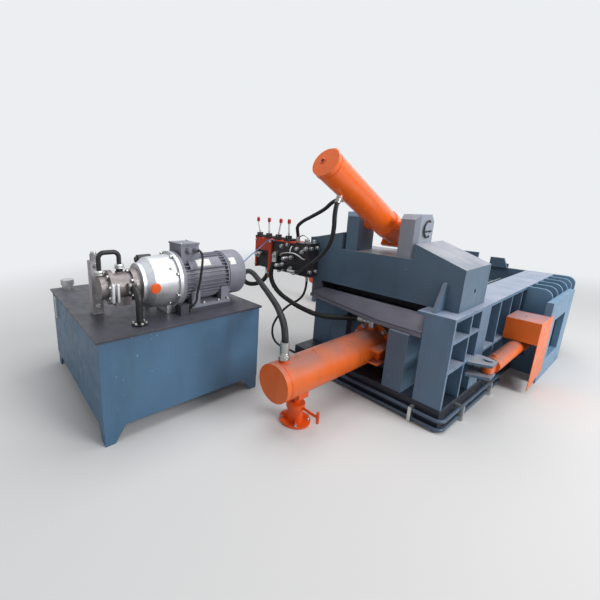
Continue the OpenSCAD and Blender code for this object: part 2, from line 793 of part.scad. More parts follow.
// A quarter ring of round bar, standing in the X and Z plane
module bend_xz(x, y, z, big, r, a0, a1) {
    translate([x, fy + y, z])
        rotate([90, 0, 0])
            rotate([0, 0, a0])
                rotate_extrude(angle = a1 - a0)
                    translate([big, 0])
                        circle(r = r);
}

// Two hard lines along the front and round the corner to the gate cylinder
module hard_pipes() {
    color("#3d4a58") {
        hard_line(74, 1016);
        hard_line(20, 960);
    }
}

module hard_line(z, y1) {
    bar_x(-420, 520, -22, z, 11);
    bend_xy(520, 18, z, 40, 11, -90, 0);
    bar_y(560, 18, y1, z, 11);
}

module pipe_clamps() {
    color("#b9bdb8")
        difference() {
            union() {
                slab(388, 406, -44, 0, 0, 96);
                slab(-206, -188, -44, 0, 0, 96);
                slab(xo, 584, 224, 242, 0, 96);
                slab(xo, 584, 700, 718, 0, 96);
            }
            for (z = [20, 74]) {
                bar_x(-430, 500, -22, z, 11.3);
                bar_y(560, 100, 800, z, 11.3);
            }
        }
}

// Oil tank on tapered feet
module tank() {
    color("#50738f") {
        difference() {
            slab(tk_x0, tk_x1, tk_y0, tk_y1, tank_foot, tank_h - 12);
            slab(tk_x0 + 6, tk_x1 - 6, tk_y0 + 6, tk_y1 - 6, tank_foot + 6, tank_h);
        }
        for (x = [tk_x0, tk_x1 - 112])
            for (y = [tk_y0 + 4, tk_y1 - 16])
                tank_foot_plate(x, y);
        for (x = [tk_x0, tk_x1 - 12]) {
            plate_yz(x, x + 12)
                polygon([[tk_y0 + 4, 0], [tk_y0 + 56, 0], [tk_y0 + 116, tank_foot],
                    [tk_y0 + 4, tank_foot]]);
            plate_yz(x, x + 12)
                polygon([[tk_y1 - 56, 0], [tk_y1 - 4, 0], [tk_y1 - 4, tank_foot],
                    [tk_y1 - 116, tank_foot]]);
        }
    }
}

module tank_foot_plate(x, y) {
    x_in = (x == tk_x0) ? x + 56 : x + 56;
    plate_xz(y, y + 12)
        polygon((x == tk_x0)
            ? [[x, 0], [x_in, 0], [x + 112, tank_foot], [x, tank_foot]]
            : [[x_in, 0], [x + 112, 0], [x + 112, tank_foot], [x, tank_foot]]);
}

module tank_cover() {
    color("#3c3c46") {
        slab(tk_x0 - 12, tk_x1 + 12, tk_y0 - 12, tk_y1 + 12, tank_h - 12, tank_h);
    }
}

module breather() {
    color("#c4c8ca") {
        bar_z(tk_x0 + 38, -1463, tank_h, tank_h + 30, 38);
        bar_z(tk_x0 + 38, -1463, tank_h + 30, tank_h + 68, 46);
    }
}

module level_gauge() {
    color("#d9dcd8") {
        slab(tk_x0 + 102, tk_x0 + 154, tk_y0 - 10, tk_y0, 404, 424);
        slab(tk_x0 + 102, tk_x0 + 154, tk_y0 - 10, tk_y0, 546, 566);
        slab(tk_x0 + 110, tk_x0 + 146, tk_y0 - 10, tk_y0, 424, 546);
    }
}

module motor_frame() {
    color("#6e7078") {
        difference() {
            union() {
                bar_y(mx, -1022, -668, mz, motor_d / 2 - 22);
                bar_y(mx, -1037, -1017, mz, flange_d / 2);
                bar_y(mx, -692, -668, mz, motor_d / 2);
                for (a = [0 : 10 : 350])
                    translate([mx, fy, mz])
                        rotate([0, a, 0])
                            translate([-2, -1000, 0])
                                cube([4, 320, motor_d / 2]);
                slab(-740, -592, -1005, -881, mz + 100, term_z);
                slab(mx - 130, mx - 80, -960, -900, tank_h + 40, mz - 60);
                slab(mx + 80, mx + 130, -960, -900, tank_h + 40, mz - 60);
                slab(mx - 130, mx - 80, -742, -682, tank_h + 40, mz - 60);
                slab(mx + 80, mx + 130, -742, -682, tank_h + 40, mz - 60);
                slab(mx - 150, mx + 150, -970, -684, tank_h + 26, tank_h + 44);
            }
            bar_y(mx, -1005, -660, mz, 100);
            bar_y(mx, -1040, -1000, mz, 24 + fit);
        }
    }
}

// Terminal box with its lid and two cable glands
module terminal_box() {
    color("#74767d") {
        slab(-740, -592, -1005, -881, term_z, 990);
        slab(-744, -588, -1009, -877, 990, 1000);
        bar_x(-592, -562, -905, 958, 13);
        bar_x(-592, -570, -955, 958, 13);
    }
}

module fan_cowl() {
    color("#6e7078")
        difference() {
            bar_y(mx, -682, -556, mz, motor_d / 2 + 5);
            bar_y(mx, -683, -562, mz, motor_d / 2 + 0.3);
            bar_y(mx, -563, -555, mz, 30);
            for (a = [0 : 30 : 330])
                translate([mx, fy, mz])
                    rotate([0, a, 0])
                        translate([-7, -563, 50])
                            cube([14, 8, 70]);
        }
}

// Two rails under the motor, and the junction box beside them
module motor_rails() {
    color("#4a5a6c") {
        slab(mx - 150, mx - 90, -985, -665, tank_h, tank_h + 26);
        slab(mx + 90, mx + 150, -985, -665, tank_h, tank_h + 26);
        slab(-545, -508, -1055, -1000, tank_h, tank_h + 62);
    }
}

module motor_rotor() {
    color("#b8bbbe") {
        bar_y(mx, -1288, -1180, mz, 14);
        bar_y(mx, -1180, -600, mz, 24);
        bar_y(mx, -970, -740, mz, 96);
        bar_y(mx, -1180, -1100, mz, 55);
        bar_y(mx, -644, -604, mz, 50);
        for (a = [0 : 60 : 300])
            translate([mx, fy, mz])
                rotate([0, a, 0])
                    translate([-3, -644, 45])
                        cube([6, 60, 75]);
    }
}

// Bell housing between pump and motor, with an open window on its far side
module bell_housing() {
    color("#b4b8bc") {
        difference() {
            translate([mx, fy, mz])
                rotate([-90, 0, 0])
                    rotate_extrude()
                        polygon([[62, -1257], [120, -1257], [120, -1238], [150, -1198], [158, -1057],
                            [flange_d / 2, -1057], [flange_d / 2, -1037], [100, -1037],
                            [140, -1057], [134, -1190], [62, -1231]]);
            slab(mx - 200, mx - 100, -1160, -1080, mz - 40, mz + 40);
        }
        slab(mx - 75, mx + 75, -1100, -1045, tank_h, mz - 140);
    }
}

module pump() {
    color("#5f5a56") {
        difference() {
            bar_y(mx, -1300, -1257, mz, 92);
            bar_y(mx, -1290, -1256, mz, 14 + fit);
        }
        bar_y(mx, -1400, -1300, mz, 74);
        slab(mx - 62, mx + 62, -1398, -1310, mz - 100, mz - 50);
        bar_y(mx, -1425, -1400, mz, 96);
        bar_y(mx, -1470, -1425, mz, 66);
        slab(mx + 40, mx + 96, -1336, -1280, mz - 28, mz + 28);
        slab(-718, -682, -1466, -1438, mz + 30, mz + 70);
        slab(-720, -680, -1361, -1321, mz + 30, mz + 78);
    }
}

module pump_block() {
    color("#8f9aa3") {
        slab(-860, -800, -1472, -1412, tank_h, 905);
        bar_z(-830, -1442, 905, 942, 22);
        slab(-800, mx - 66.3, -1456, -1440, mz - 20, mz + 20);
    }
}

// Black hoop pipe over the pump
module delivery_pipe() {
    color("#26262a") {
        bar_z(-700, -1453, mz + 70, 934, 13);
        bar_z(-700, -1341, mz + 98, 934, 13);
        bend_yz(-700, -1421, 934, 32, 13, 90, 180);
        bend_yz(-700, -1373, 934, 32, 13, 0, 90);
        bar_y(-700, -1421, -1373, 966, 13);
        bar_z(-700, -1341, mz + 78, mz + 98, 19);
    }
}

module suction_pipe() {
    color("#55595e") {
        bar_z(-509, -1308, tank_h, tank_h + 10, 43);
        bar_z(-509, -1308, tank_h + 10, mz - 67, 19);
        bend_xz(-576, -1308, mz - 67, 67, 19, 0, 90);
    }
}

// Black filter can lying along the tank, on its return pipe
module return_filter() {
    color("#2b2b30") {
        bar_z(-850, -1120, tank_h, tank_h + 12, 42);
        bar_z(-850, -1120, tank_h + 12, 870, 14);
        bar_y(-850, -1176, -1090, 884, 29);
    }
}

// Console of the valve: face plate, end plate and top strip
module valve_stand() {
    color("#c8502a") {
        slab(-1052, -854, -14, 0, 850, 940);
        slab(-1052, -1036, -14, 0, 692, 850);
        slab(-888, -854, -14, 0, 620, 850);
        slab(-1052, -600, -14, 120, 940, 950);
        slab(-1052, -1036, 0, 120, 692, 940);
    }
}

// Valve body with its lever brackets, bolted by two lugs to the front of the beam
module valve_body() {
    color("#2e3036") {
        slab(-1036, -600, 0, 120, 700, 940);
        slab(-600, -477, 0, 120, 700, 950);
        slab(-560, -490, 120, beam_y, 720, 780);
        slab(-560, -490, 120, beam_y, 860, 920);
        for (i = [0 : valve_n - 1]) {
            slab(lv_x(i) - 30, lv_x(i) + 30, lv_y - 26, lv_y + 70, 950, 966);
            slab(lv_x(i) - 16, lv_x(i) - 8, lv_y - 20, lv_y + 20, 966, 992);
            slab(lv_x(i) + 8, lv_x(i) + 16, lv_y - 20, lv_y + 20, 966, 992);
            bar_x(lv_x(i) - 8, lv_x(i) + 8, lv_y, 978, 5 - fit);
        }
    }
}

function lv_x(i) = lv_x0 + i * valve_pitch;

module lever(i) {
    lean = knob_lean[i];
    difference() {
        bar_x(lv_x(i) - 8 + fit, lv_x(i) + 8 - fit, lv_y, 978, 11);
        bar_x(lv_x(i) - 9, lv_x(i) + 9, lv_y, 978, 5);
    }
    bar_z(lv_x(i), lv_y, 988, 1002, 6);
    translate([lv_x(i), fy + lv_y, 1000])
        rotate([0, atan(lean / 86), 0])
            cylinder(h = norm([lean, 86]), r = 5);
    bar_z(lv_x(i) + lean, lv_y, 1083, 1121, 11);
}

module lever_1() { color("#d9d4cc") lever(0); }
module lever_2() { color("#d9d4cc") lever(1); }
module lever_3() { color("#d9d4cc") lever(2); }
module lever_4() { color("#d9d4cc") lever(3); }

// A round hose along a route, as one chain of rings
function unit(v) = v / norm(v);
function lead(p, i) = i == 0 ? unit(p[1] - p[0])
    : i == len(p) - 1 ? unit(p[i] - p[i - 1])
    : unit(unit(p[i + 1] - p[i]) + unit(p[i] - p[i - 1]));
function ring(c, t, ref, r, n, s) = let (u = unit(cross(t, ref)), v = cross(t, u))
    [for (k = [0 : n - 1]) c + r * cos(k * 360 / n) * u + r * sin(k * 360 / n) * v + s];

module hose(p, r, ref) {
    n = 10;
    m = len(p);
    pts = [for (i = [0 : m - 1]) each ring(p[i], lead(p, i), ref, r, n, [0, fy, 0])];
    sides = [for (i = [0 : m - 2]) for (k = [0 : n - 1])
        [i * n + k, i * n + (k + 1) % n, (i + 1) * n + (k + 1) % n, (i + 1) * n + k]];
    polyhedron(points = pts,
        faces = concat(sides, [[for (k = [n - 1 : -1 : 0]) k]], [[for (k = [0 : n - 1]) (m - 1) * n + k]]),
        convexity = 6);
}

module hose_main_1() { color("#1e1e22") hose(main_1_route, 19, [0.2, 1, 0.1]); }
module hose_main_2() { color("#1e1e22") hose(main_2_route, 19, [0.1, 1, 0.1]); }
module hose_lid_1() { color("#1e1e22") hose(lid_1_route, 13, [0.1, 1, 0.1]); }
module hose_lid_2() { color("#1e1e22") hose(lid_2_route, 13, [0.1, 1, 0.1]); }
module hose_gate() { color("#1e1e22") hose(gate_route, 9, [0.1, 1, 0.1]); }
module motor_cable() { color("#1e1e22") hose(cable_route, 7, [0.1, 1, 0.1]); }

// Steel fittings where the hoses meet the cylinders, the valve and the hard lines
module hose_fittings() {
    color("#b4b8ba") {
        bar_z(0, -707, main_z + main_od / 2 + 14, main_z + main_od / 2 + 60, 22);
        bar_z(0, -707, main_z + main_od / 2 + 60, 520, 25);
        bar_z(0, 155, main_z + main_od / 2 + 14, 478, 22);
        bar_x(-60, -10, 155, 455, 20);
        bar_x(-460, -420, -22, 74, 15);
        bar_x(-460, -420, -22, 20, 15);
        bar_z(-960, 60, 680, 700, 20);
        bar_z(-520, 60, 680, 700, 14);
        bar_y(-795, -30, 0, 840, 18);
        bar_z(-795, -28, 815, 846, 20);
        bar_y(-640, -22, 0, 722, 13);
        bar_x(-646, -600, -22, 722, 15);
        bar_z(-640, 65, 950, 964, 14);
    }
}

base_frame();
wall_right();
wall_left();
cylinder_mount();
deck_plate();
end_wall();
floor_liner();
bridge_beam();
trunnion_cheeks();
gate_yokes();
gate_frame();
gate_guides();
gate_hood();
gate_bracket();
gate();
gate_rod();
gate_cylinder();
main_cylinder();
main_rod();
main_ram();
side_cylinder();
side_mount();
side_rod();
side_ram();
lid();
lid_cylinder();
lid_rod();
jack_base();
jack_nut();
jack_screw();
hard_pipes();
pipe_clamps();
tank();
tank_cover();
breather();
level_gauge();
motor_frame();
terminal_box();
fan_cowl();
motor_rails();
motor_rotor();
bell_housing();
pump();
pump_block();
delivery_pipe();
suction_pipe();
return_filter();
valve_stand();
valve_body();
lever_1();
lever_2();
lever_3();
lever_4();
hose_main_1();
hose_main_2();
hose_lid_1();
hose_lid_2();
hose_gate();
hose_fittings();
motor_cable();
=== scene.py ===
"""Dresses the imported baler: finishes for its metal, hoses, bolts, levers and the stage."""
import json
import math

import bpy
from mathutils import Matrix, Vector


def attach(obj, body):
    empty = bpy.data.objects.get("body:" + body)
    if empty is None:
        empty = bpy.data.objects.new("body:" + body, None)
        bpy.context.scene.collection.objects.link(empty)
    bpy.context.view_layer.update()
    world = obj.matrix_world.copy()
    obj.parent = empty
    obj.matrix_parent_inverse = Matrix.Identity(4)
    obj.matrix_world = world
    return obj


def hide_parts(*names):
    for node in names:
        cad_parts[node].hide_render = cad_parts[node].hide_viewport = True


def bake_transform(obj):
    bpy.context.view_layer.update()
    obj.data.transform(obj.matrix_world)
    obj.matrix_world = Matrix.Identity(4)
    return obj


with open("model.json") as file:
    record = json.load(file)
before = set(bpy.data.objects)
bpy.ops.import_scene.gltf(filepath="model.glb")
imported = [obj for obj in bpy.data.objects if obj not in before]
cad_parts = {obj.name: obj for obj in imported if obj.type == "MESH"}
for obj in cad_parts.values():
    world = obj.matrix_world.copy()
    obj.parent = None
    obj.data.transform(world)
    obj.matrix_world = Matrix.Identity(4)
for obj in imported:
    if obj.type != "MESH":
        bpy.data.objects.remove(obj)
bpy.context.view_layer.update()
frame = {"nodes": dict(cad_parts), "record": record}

bl_info = {
    "name": "Scrap baler dressing",
    "version": (1, 0, 0),
    "blender": (4, 5, 0),
    "location": "View3D > Sidebar > Baler",
    "description": "Paint, hoses, bolts and fittings for a hydraulic scrap baler",
    "category": "Object",
}

FRONT = -1.0                              # Y of the press frame's front face
MAIN_Z = 0.300                            # height of the main cylinder's axis
MAIN_PORTS = (-0.707, 0.155)              # of its cap port and its flange port, from the frame's front face
SIDE_Y, SIDE_Z = 1.5175, 0.295            # the side cylinder's axis, from the frame's front face
GATE_X, GATE_Z = 0.611, 0.307             # the gate cylinder's axis
MOTOR = (-0.672, 0.776)                   # X and Z of the motor's axis
LID_SLOPE = math.radians(26.3)            # of the lid cylinder at rest
TRUNNION = Vector((-0.036, FRONT + 0.245, 1.121))
MAIN_TUBE, LID_TUBE, SIDE_TUBE, GATE_TUBE = 0.1095, 0.0795, 0.084, 0.046     # outer radii of the cylinders
FIN_RADIUS, COWL_RADIUS, BELL_RADIUS = 0.1445, 0.150, 0.1565
VALVE_TOP = 0.950                         # height of the valve body's top face
CONSOLE_Y = -0.014                        # front of the levers' plate, from the frame's front face
LEVER_X = [-1.030 + 0.112 * i for i in range(4)]
LEVER_Y = 0.016
KNOB_LEAN = (-0.028, -0.005, 0.018, -0.004)           # how far each knob stands to the side
GATE_HOSE, LEAD, THIN_LINE = 0.018, 0.014, 0.009      # outer diameters
PILOT_RADIUS = 0.0052                     # of the thin bent tubes on the valve
GUARD_SHEET, APRON_PLATE = 0.003, 0.006   # thicknesses
HEX = 0.5774                              # a hexagon's corner radius over its width across the flats
SMOOTH = math.radians(35)                 # edges that turn by less than this are shaded smooth
BACKDROP = (0.84, 0.86, 0.88, 1.0)

FINISH = {}
# Nodes whose finish is not that of their record's slot
OWN_FINISH = {"base_frame": "base_dark", "deck_plate": "deck_grey", "trunnion_cheeks": "cheek_pale_shaded_left",
              "valve_stand": "plate_orange", "lid_cylinder": "orange_gloss", "main_cylinder": "orange_dusty",
              "gate_cylinder": "orange_dusty"}

# Routes of thin tubes and places of plugs on the valve, with y from the frame's front face
PILOT_FRONT = [(-0.745, 0.002, 0.822), (-0.742, -0.022, 0.830), (-0.714, -0.035, 0.848),
               (-0.674, -0.038, 0.861), (-0.620, -0.040, 0.870), (-0.570, -0.038, 0.868),
               (-0.531, -0.035, 0.854), (-0.500, -0.022, 0.836), (-0.495, 0.002, 0.830)]
PILOT_STUB = [(-0.620, -0.040, 0.870), (-0.621, -0.036, 0.895), (-0.623, -0.020, 0.914), (-0.623, 0.002, 0.918)]
PILOT_TOP = [(-0.600, 0.030, 0.948), (-0.599, 0.028, 0.975), (-0.578, 0.026, 1.000), (-0.540, 0.026, 1.006),
             (-0.508, 0.028, 0.985), (-0.500, 0.030, 0.948)]
FACE_PLUGS = ((-0.495, 0.913), (-0.583, 0.902), (-0.531, 0.884), (-0.681, 0.925), (-0.745, 0.905),
              (-0.640, 0.740))
TOP_PLUGS = ((-0.570, 0.085), (-0.535, 0.060), (-0.497, 0.088))
CONSOLE_BOLTS = ((-1.040, 0.928), (-1.040, 0.720), (-0.870, 0.928), (-0.870, 0.660))

# The sloping plate between the deck's front edge and the beam, as pairs of a front and a back point
APRON = [((-0.566, 0.1840, 0.5335), (-0.562, 0.196, 0.545)),
         ((-0.420, 0.1480, 0.5335), (-0.420, 0.158, 0.614)),
         ((-0.160, 0.0840, 0.5335), (-0.160, 0.140, 0.618)),
         ((0.094, 0.0215, 0.5335), (0.094, 0.128, 0.620)),
         ((0.368, 0.0215, 0.5335), (0.368, 0.126, 0.620))]

# Routes of the hoses, the motor's cable and the blue line, with y from the frame's front face
MAIN_1 = [(-0.960, 0.060, 0.6797), (-0.960, 0.060, 0.655), (-0.963, 0.048, 0.610), (-0.972, 0.010, 0.570),
          (-0.985, -0.055, 0.550), (-0.988, -0.135, 0.562), (-0.962, -0.208, 0.608), (-0.895, -0.268, 0.672),
          (-0.800, -0.312, 0.722), (-0.700, -0.350, 0.735), (-0.600, -0.390, 0.722), (-0.470, -0.448, 0.697),
          (-0.335, -0.510, 0.672), (-0.195, -0.582, 0.648), (-0.118, -0.630, 0.632), (-0.062, -0.666, 0.614),
          (-0.024, -0.691, 0.590), (-0.005, -0.704, 0.560), (0.000, -0.707, 0.540), (0.000, -0.707, 0.5203)]
MAIN_2 = [(-0.795, -0.028, 0.8147), (-0.795, -0.028, 0.795), (-0.805, -0.034, 0.745),
          (-0.814, -0.042, 0.680), (-0.796, -0.040, 0.605), (-0.735, -0.028, 0.535), (-0.625, -0.005, 0.478),
          (-0.475, 0.010, 0.442), (-0.345, 0.030, 0.430), (-0.250, 0.068, 0.437), (-0.180, 0.112, 0.446),
          (-0.125, 0.145, 0.453), (-0.090, 0.155, 0.455), (-0.0603, 0.155, 0.455)]
LID_1 = [(-0.036, -0.3002, 1.2785), (-0.036, -0.316, 1.2465), (-0.036, -0.325, 1.190),
         (-0.045, -0.310, 1.120), (-0.085, -0.268, 1.040), (-0.170, -0.205, 0.958), (-0.275, -0.140, 0.885),
         (-0.400, -0.080, 0.812), (-0.475, -0.050, 0.768), (-0.530, -0.029, 0.736), (-0.570, -0.022, 0.722),
         (-0.5997, -0.022, 0.722)]
LID_2 = [(-0.1343, -0.110, 1.274), (-0.168, -0.110, 1.274), (-0.215, -0.104, 1.260), (-0.295, -0.082, 1.212),
         (-0.415, -0.058, 1.158), (-0.520, -0.038, 1.112), (-0.588, -0.006, 1.072), (-0.622, 0.032, 1.036),
         (-0.637, 0.058, 1.000), (-0.640, 0.065, 0.978), (-0.640, 0.065, 0.9643)]
GATE_LINE = [(-0.520, 0.060, 0.6797), (-0.520, 0.060, 0.650), (-0.522, 0.056, 0.595), (-0.535, 0.048, 0.540),
             (-0.575, 0.044, 0.490), (-0.630, 0.040, 0.450), (-0.705, 0.020, 0.375), (-0.758, -0.005, 0.285),
             (-0.785, -0.020, 0.185), (-0.755, -0.025, 0.105), (-0.675, -0.023, 0.070),
             (-0.570, -0.022, 0.074), (-0.500, -0.022, 0.074), (-0.4603, -0.022, 0.074)]
MOTOR_LEAD = [(-0.5617, -0.905, 0.958), (-0.546, -0.905, 0.958), (-0.520, -0.906, 0.947),
              (-0.505, -0.909, 0.922), (-0.500, -0.914, 0.880), (-0.501, -0.919, 0.835),
              (-0.504, -0.926, 0.785), (-0.508, -0.935, 0.740), (-0.511, -0.942, 0.700),
              (-0.510, -0.946, 0.672), (-0.509, -0.955, 0.653), (-0.510, -0.966, 0.640),
              (-0.5125, -0.976, 0.632), (-0.518, -0.985, 0.627), (-0.524, -0.9915, 0.6252),
              (-0.527, -0.9955, 0.625), (-0.527, -0.9997, 0.625)]
BLUE_LINE = [(-0.822, -0.0145, 0.936), (-0.826, -0.020, 0.944), (-0.850, -0.032, 0.946),
             (-0.881, -0.045, 0.926), (-0.906, -0.075, 0.888), (-0.912, -0.130, 0.852),
             (-0.904, -0.200, 0.818), (-0.870, -0.290, 0.782), (-0.835, -0.400, 0.735),
             (-0.812, -0.490, 0.680), (-0.805, -0.545, 0.630), (-0.805, -0.560, 0.600),
             (-0.805, -0.560, 0.5885)]


# ---------------------------------------------------------------- pieces

def linear(rgb):
    """Turns a colour picked on screen into the linear values that shaders take."""
    return tuple(((c + 0.055) / 1.055) ** 2.4 if c > 0.04045 else c / 12.92 for c in rgb) + (1.0,)


def deselect():
    if bpy.context.object and bpy.context.object.mode != "OBJECT":
        bpy.ops.object.mode_set(mode="OBJECT")
    bpy.ops.object.select_all(action="DESELECT")


def only(obj):
    deselect()
    obj.select_set(True)
    bpy.context.view_layer.objects.active = obj


def settle(obj, name):
    """Names a piece and moves its place into its mesh."""
    only(obj)
    bpy.ops.object.transform_apply(location=True, rotation=True, scale=True)
    obj.name = name
    return obj


def join(pieces, name):
    deselect()
    for piece in pieces:
        piece.select_set(True)
    bpy.context.view_layer.objects.active = pieces[0]
    if len(pieces) > 1:
        bpy.ops.object.join()
    joined = bpy.context.object
    joined.name = name
    return joined


def bevel(obj, width, segments=2, angle=30):
    only(obj)
    mod = obj.modifiers.new("Edge", "BEVEL")
    mod.width = width
    mod.segments = segments
    mod.limit_method = "ANGLE"
    mod.angle_limit = math.radians(angle)
    bpy.ops.object.modifier_apply(modifier=mod.name)
    bpy.ops.object.shade_smooth_by_angle(angle=SMOOTH)


def placed(name, data):
    """A new object in the scene."""
    obj = bpy.data.objects.new(name, data)
    bpy.context.collection.objects.link(obj)
    return obj


def built(name, verts, faces, edges=(), outward=False):
    """A piece from its points and faces, with the faces turned outwards if asked."""
    mesh = bpy.data.meshes.new(name)
    mesh.from_pydata(verts, edges, faces)
    piece = placed(name, mesh)
    only(piece)
    if outward:
        bpy.ops.object.mode_set(mode="EDIT")
        bpy.ops.mesh.select_all(action="SELECT")
        bpy.ops.mesh.normals_make_consistent(inside=False)
        bpy.ops.object.mode_set(mode="OBJECT")
    return piece


def arc_bar(name, sections):
    """A bar through a row of sections, each of four points: inner pair, then outer pair."""
    faces = [(0, 1, 3, 2)]
    for k in range(len(sections) - 1):
        a, b = 4 * k, 4 * (k + 1)
        faces += [(a, b, b + 1, a + 1), (a + 2, a + 3, b + 3, b + 2), (a, a + 2, b + 2, b),
                  (a + 1, b + 1, b + 3, a + 3)]
    last = 4 * (len(sections) - 1)
    faces.append((last, last + 2, last + 3, last + 1))
    return built(name, [point for section in sections for point in section], faces, outward=True)


def sheet_metal(name, corners, faces, thick):
    """A plate with its middle on the given faces, with y counted from the frame's front face."""
    piece = built(name, [(x, FRONT + y, z) for x, y, z in corners], faces)
    solid = piece.modifiers.new("Thickness", "SOLIDIFY")
    solid.thickness = thick
    solid.offset = 0.0
    bpy.ops.object.modifier_apply(modifier=solid.name)
    return piece


def cylinder(name, radius, depth, centre, sides, turn=0.0):
    deselect()
    bpy.ops.mesh.primitive_cylinder_add(vertices=sides, radius=radius, depth=depth, location=centre,
                                        rotation=(0, 0, turn))
    return settle(bpy.context.object, name)


def block(name, centre, size):
    deselect()
    bpy.ops.mesh.primitive_cube_add(size=1, location=centre, scale=size)
    return settle(bpy.context.object, name)


def dress(obj, finish, body):
    """Gives a piece its finish, the record's slot of that name or another, and its body."""
    obj.data.materials.clear()
    obj.data.materials.append(FINISH[finish])
    if body:
        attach(obj, body)


# ---------------------------------------------------------------- finishes

def shader(name, rgb, rough, metal=0.0, coat=0.0):
    mat = bpy.data.materials.new(name)
    mat.use_nodes = True
    bsdf = mat.node_tree.nodes["Principled BSDF"]
    bsdf.inputs["Base Color"].default_value = linear(rgb)
    bsdf.inputs["Roughness"].default_value = rough
    bsdf.inputs["Metallic"].default_value = metal
    bsdf.inputs["Coat Weight"].default_value = coat
    bsdf.inputs["Coat Roughness"].default_value = 0.25
    bsdf.inputs["Specular IOR Level"].default_value = 0.35
    return mat, mat.node_tree, bsdf


def noise(tree, scale, detail, stretch=(1, 1, 1), rough=0.55):
    coord = tree.nodes.new("ShaderNodeTexCoord")
    mapping = tree.nodes.new("ShaderNodeMapping")
    mapping.inputs["Scale"].default_value = stretch
    tex = tree.nodes.new("ShaderNodeTexNoise")
    tex.inputs["Scale"].default_value = scale
    tex.inputs["Detail"].default_value = detail
    tex.inputs["Roughness"].default_value = rough
    tree.links.new(coord.outputs["Object"], mapping.inputs["Vector"])
    tree.links.new(mapping.outputs["Vector"], tex.inputs["Vector"])
    return tex.outputs["Fac"]


def ramp(tree, fac, stops):
    node = tree.nodes.new("ShaderNodeValToRGB")
    node.color_ramp.elements[0].position = stops[0][0]
    node.color_ramp.elements[0].color = stops[0][1]
    node.color_ramp.elements[1].position = stops[-1][0]
    node.color_ramp.elements[1].color = stops[-1][1]
    for pos, col in stops[1:-1]:
        node.color_ramp.elements.new(pos).color = col
    tree.links.new(fac, node.inputs["Fac"])
    return node.outputs["Color"]


def mix(tree, fac, a, b, mode="MIX"):
    node = tree.nodes.new("ShaderNodeMix")
    node.data_type = "RGBA"
    node.blend_type = mode
    for value, socket in ((fac, node.inputs["Factor"]), (a, node.inputs["A"]), (b, node.inputs["B"])):
        if hasattr(value, "is_linked"):
            tree.links.new(value, socket)
        else:
            socket.default_value = value
    return node.outputs["Result"]


def grey(v):
    return (v, v, v, 1.0)


def clouds(tree, first, second, scale, low, high, most=1.0):
    """One colour with soft clouds of a second."""
    amount = ramp(tree, noise(tree, scale, 5), [(low, grey(0)), (high, grey(most))])
    return mix(tree, amount, linear(first), linear(second))


def bump(tree, bsdf, height, strength, distance, rolled=None):
    node = tree.nodes.new("ShaderNodeBump")
    node.inputs["Strength"].default_value = strength
    node.inputs["Distance"].default_value = distance
    tree.links.new(height, node.inputs["Height"])
    if rolled:
        tree.links.new(rolled, node.inputs["Normal"])
    tree.links.new(node.outputs["Normal"], bsdf.inputs["Normal"])


def rounded_edges(tree, radius):
    """Normals that roll over the edges, and a mask that is 1 along them."""
    roll = tree.nodes.new("ShaderNodeBevel")
    roll.samples = 4
    roll.inputs["Radius"].default_value = radius
    geometry = tree.nodes.new("ShaderNodeNewGeometry")
    dot = tree.nodes.new("ShaderNodeVectorMath")
    dot.operation = "DOT_PRODUCT"
    tree.links.new(roll.outputs["Normal"], dot.inputs[0])
    tree.links.new(geometry.outputs["Normal"], dot.inputs[1])
    return roll.outputs["Normal"], ramp(tree, dot.outputs["Value"], [(0.80, grey(1)), (0.97, grey(0))])


def part_of(tree, output, axis):
    """One part of an object's own coordinates or normal."""
    where = tree.nodes.new("ShaderNodeTexCoord")
    parts = tree.nodes.new("ShaderNodeSeparateXYZ")
    tree.links.new(where.outputs[output], parts.inputs[0])
    return parts.outputs[axis]


def upward(tree):
    """How far a face looks up, from 0 on walls to 1 on level tops."""
    return ramp(tree, part_of(tree, "Normal", "Z"), [(0.35, grey(0)), (0.90, grey(1))])


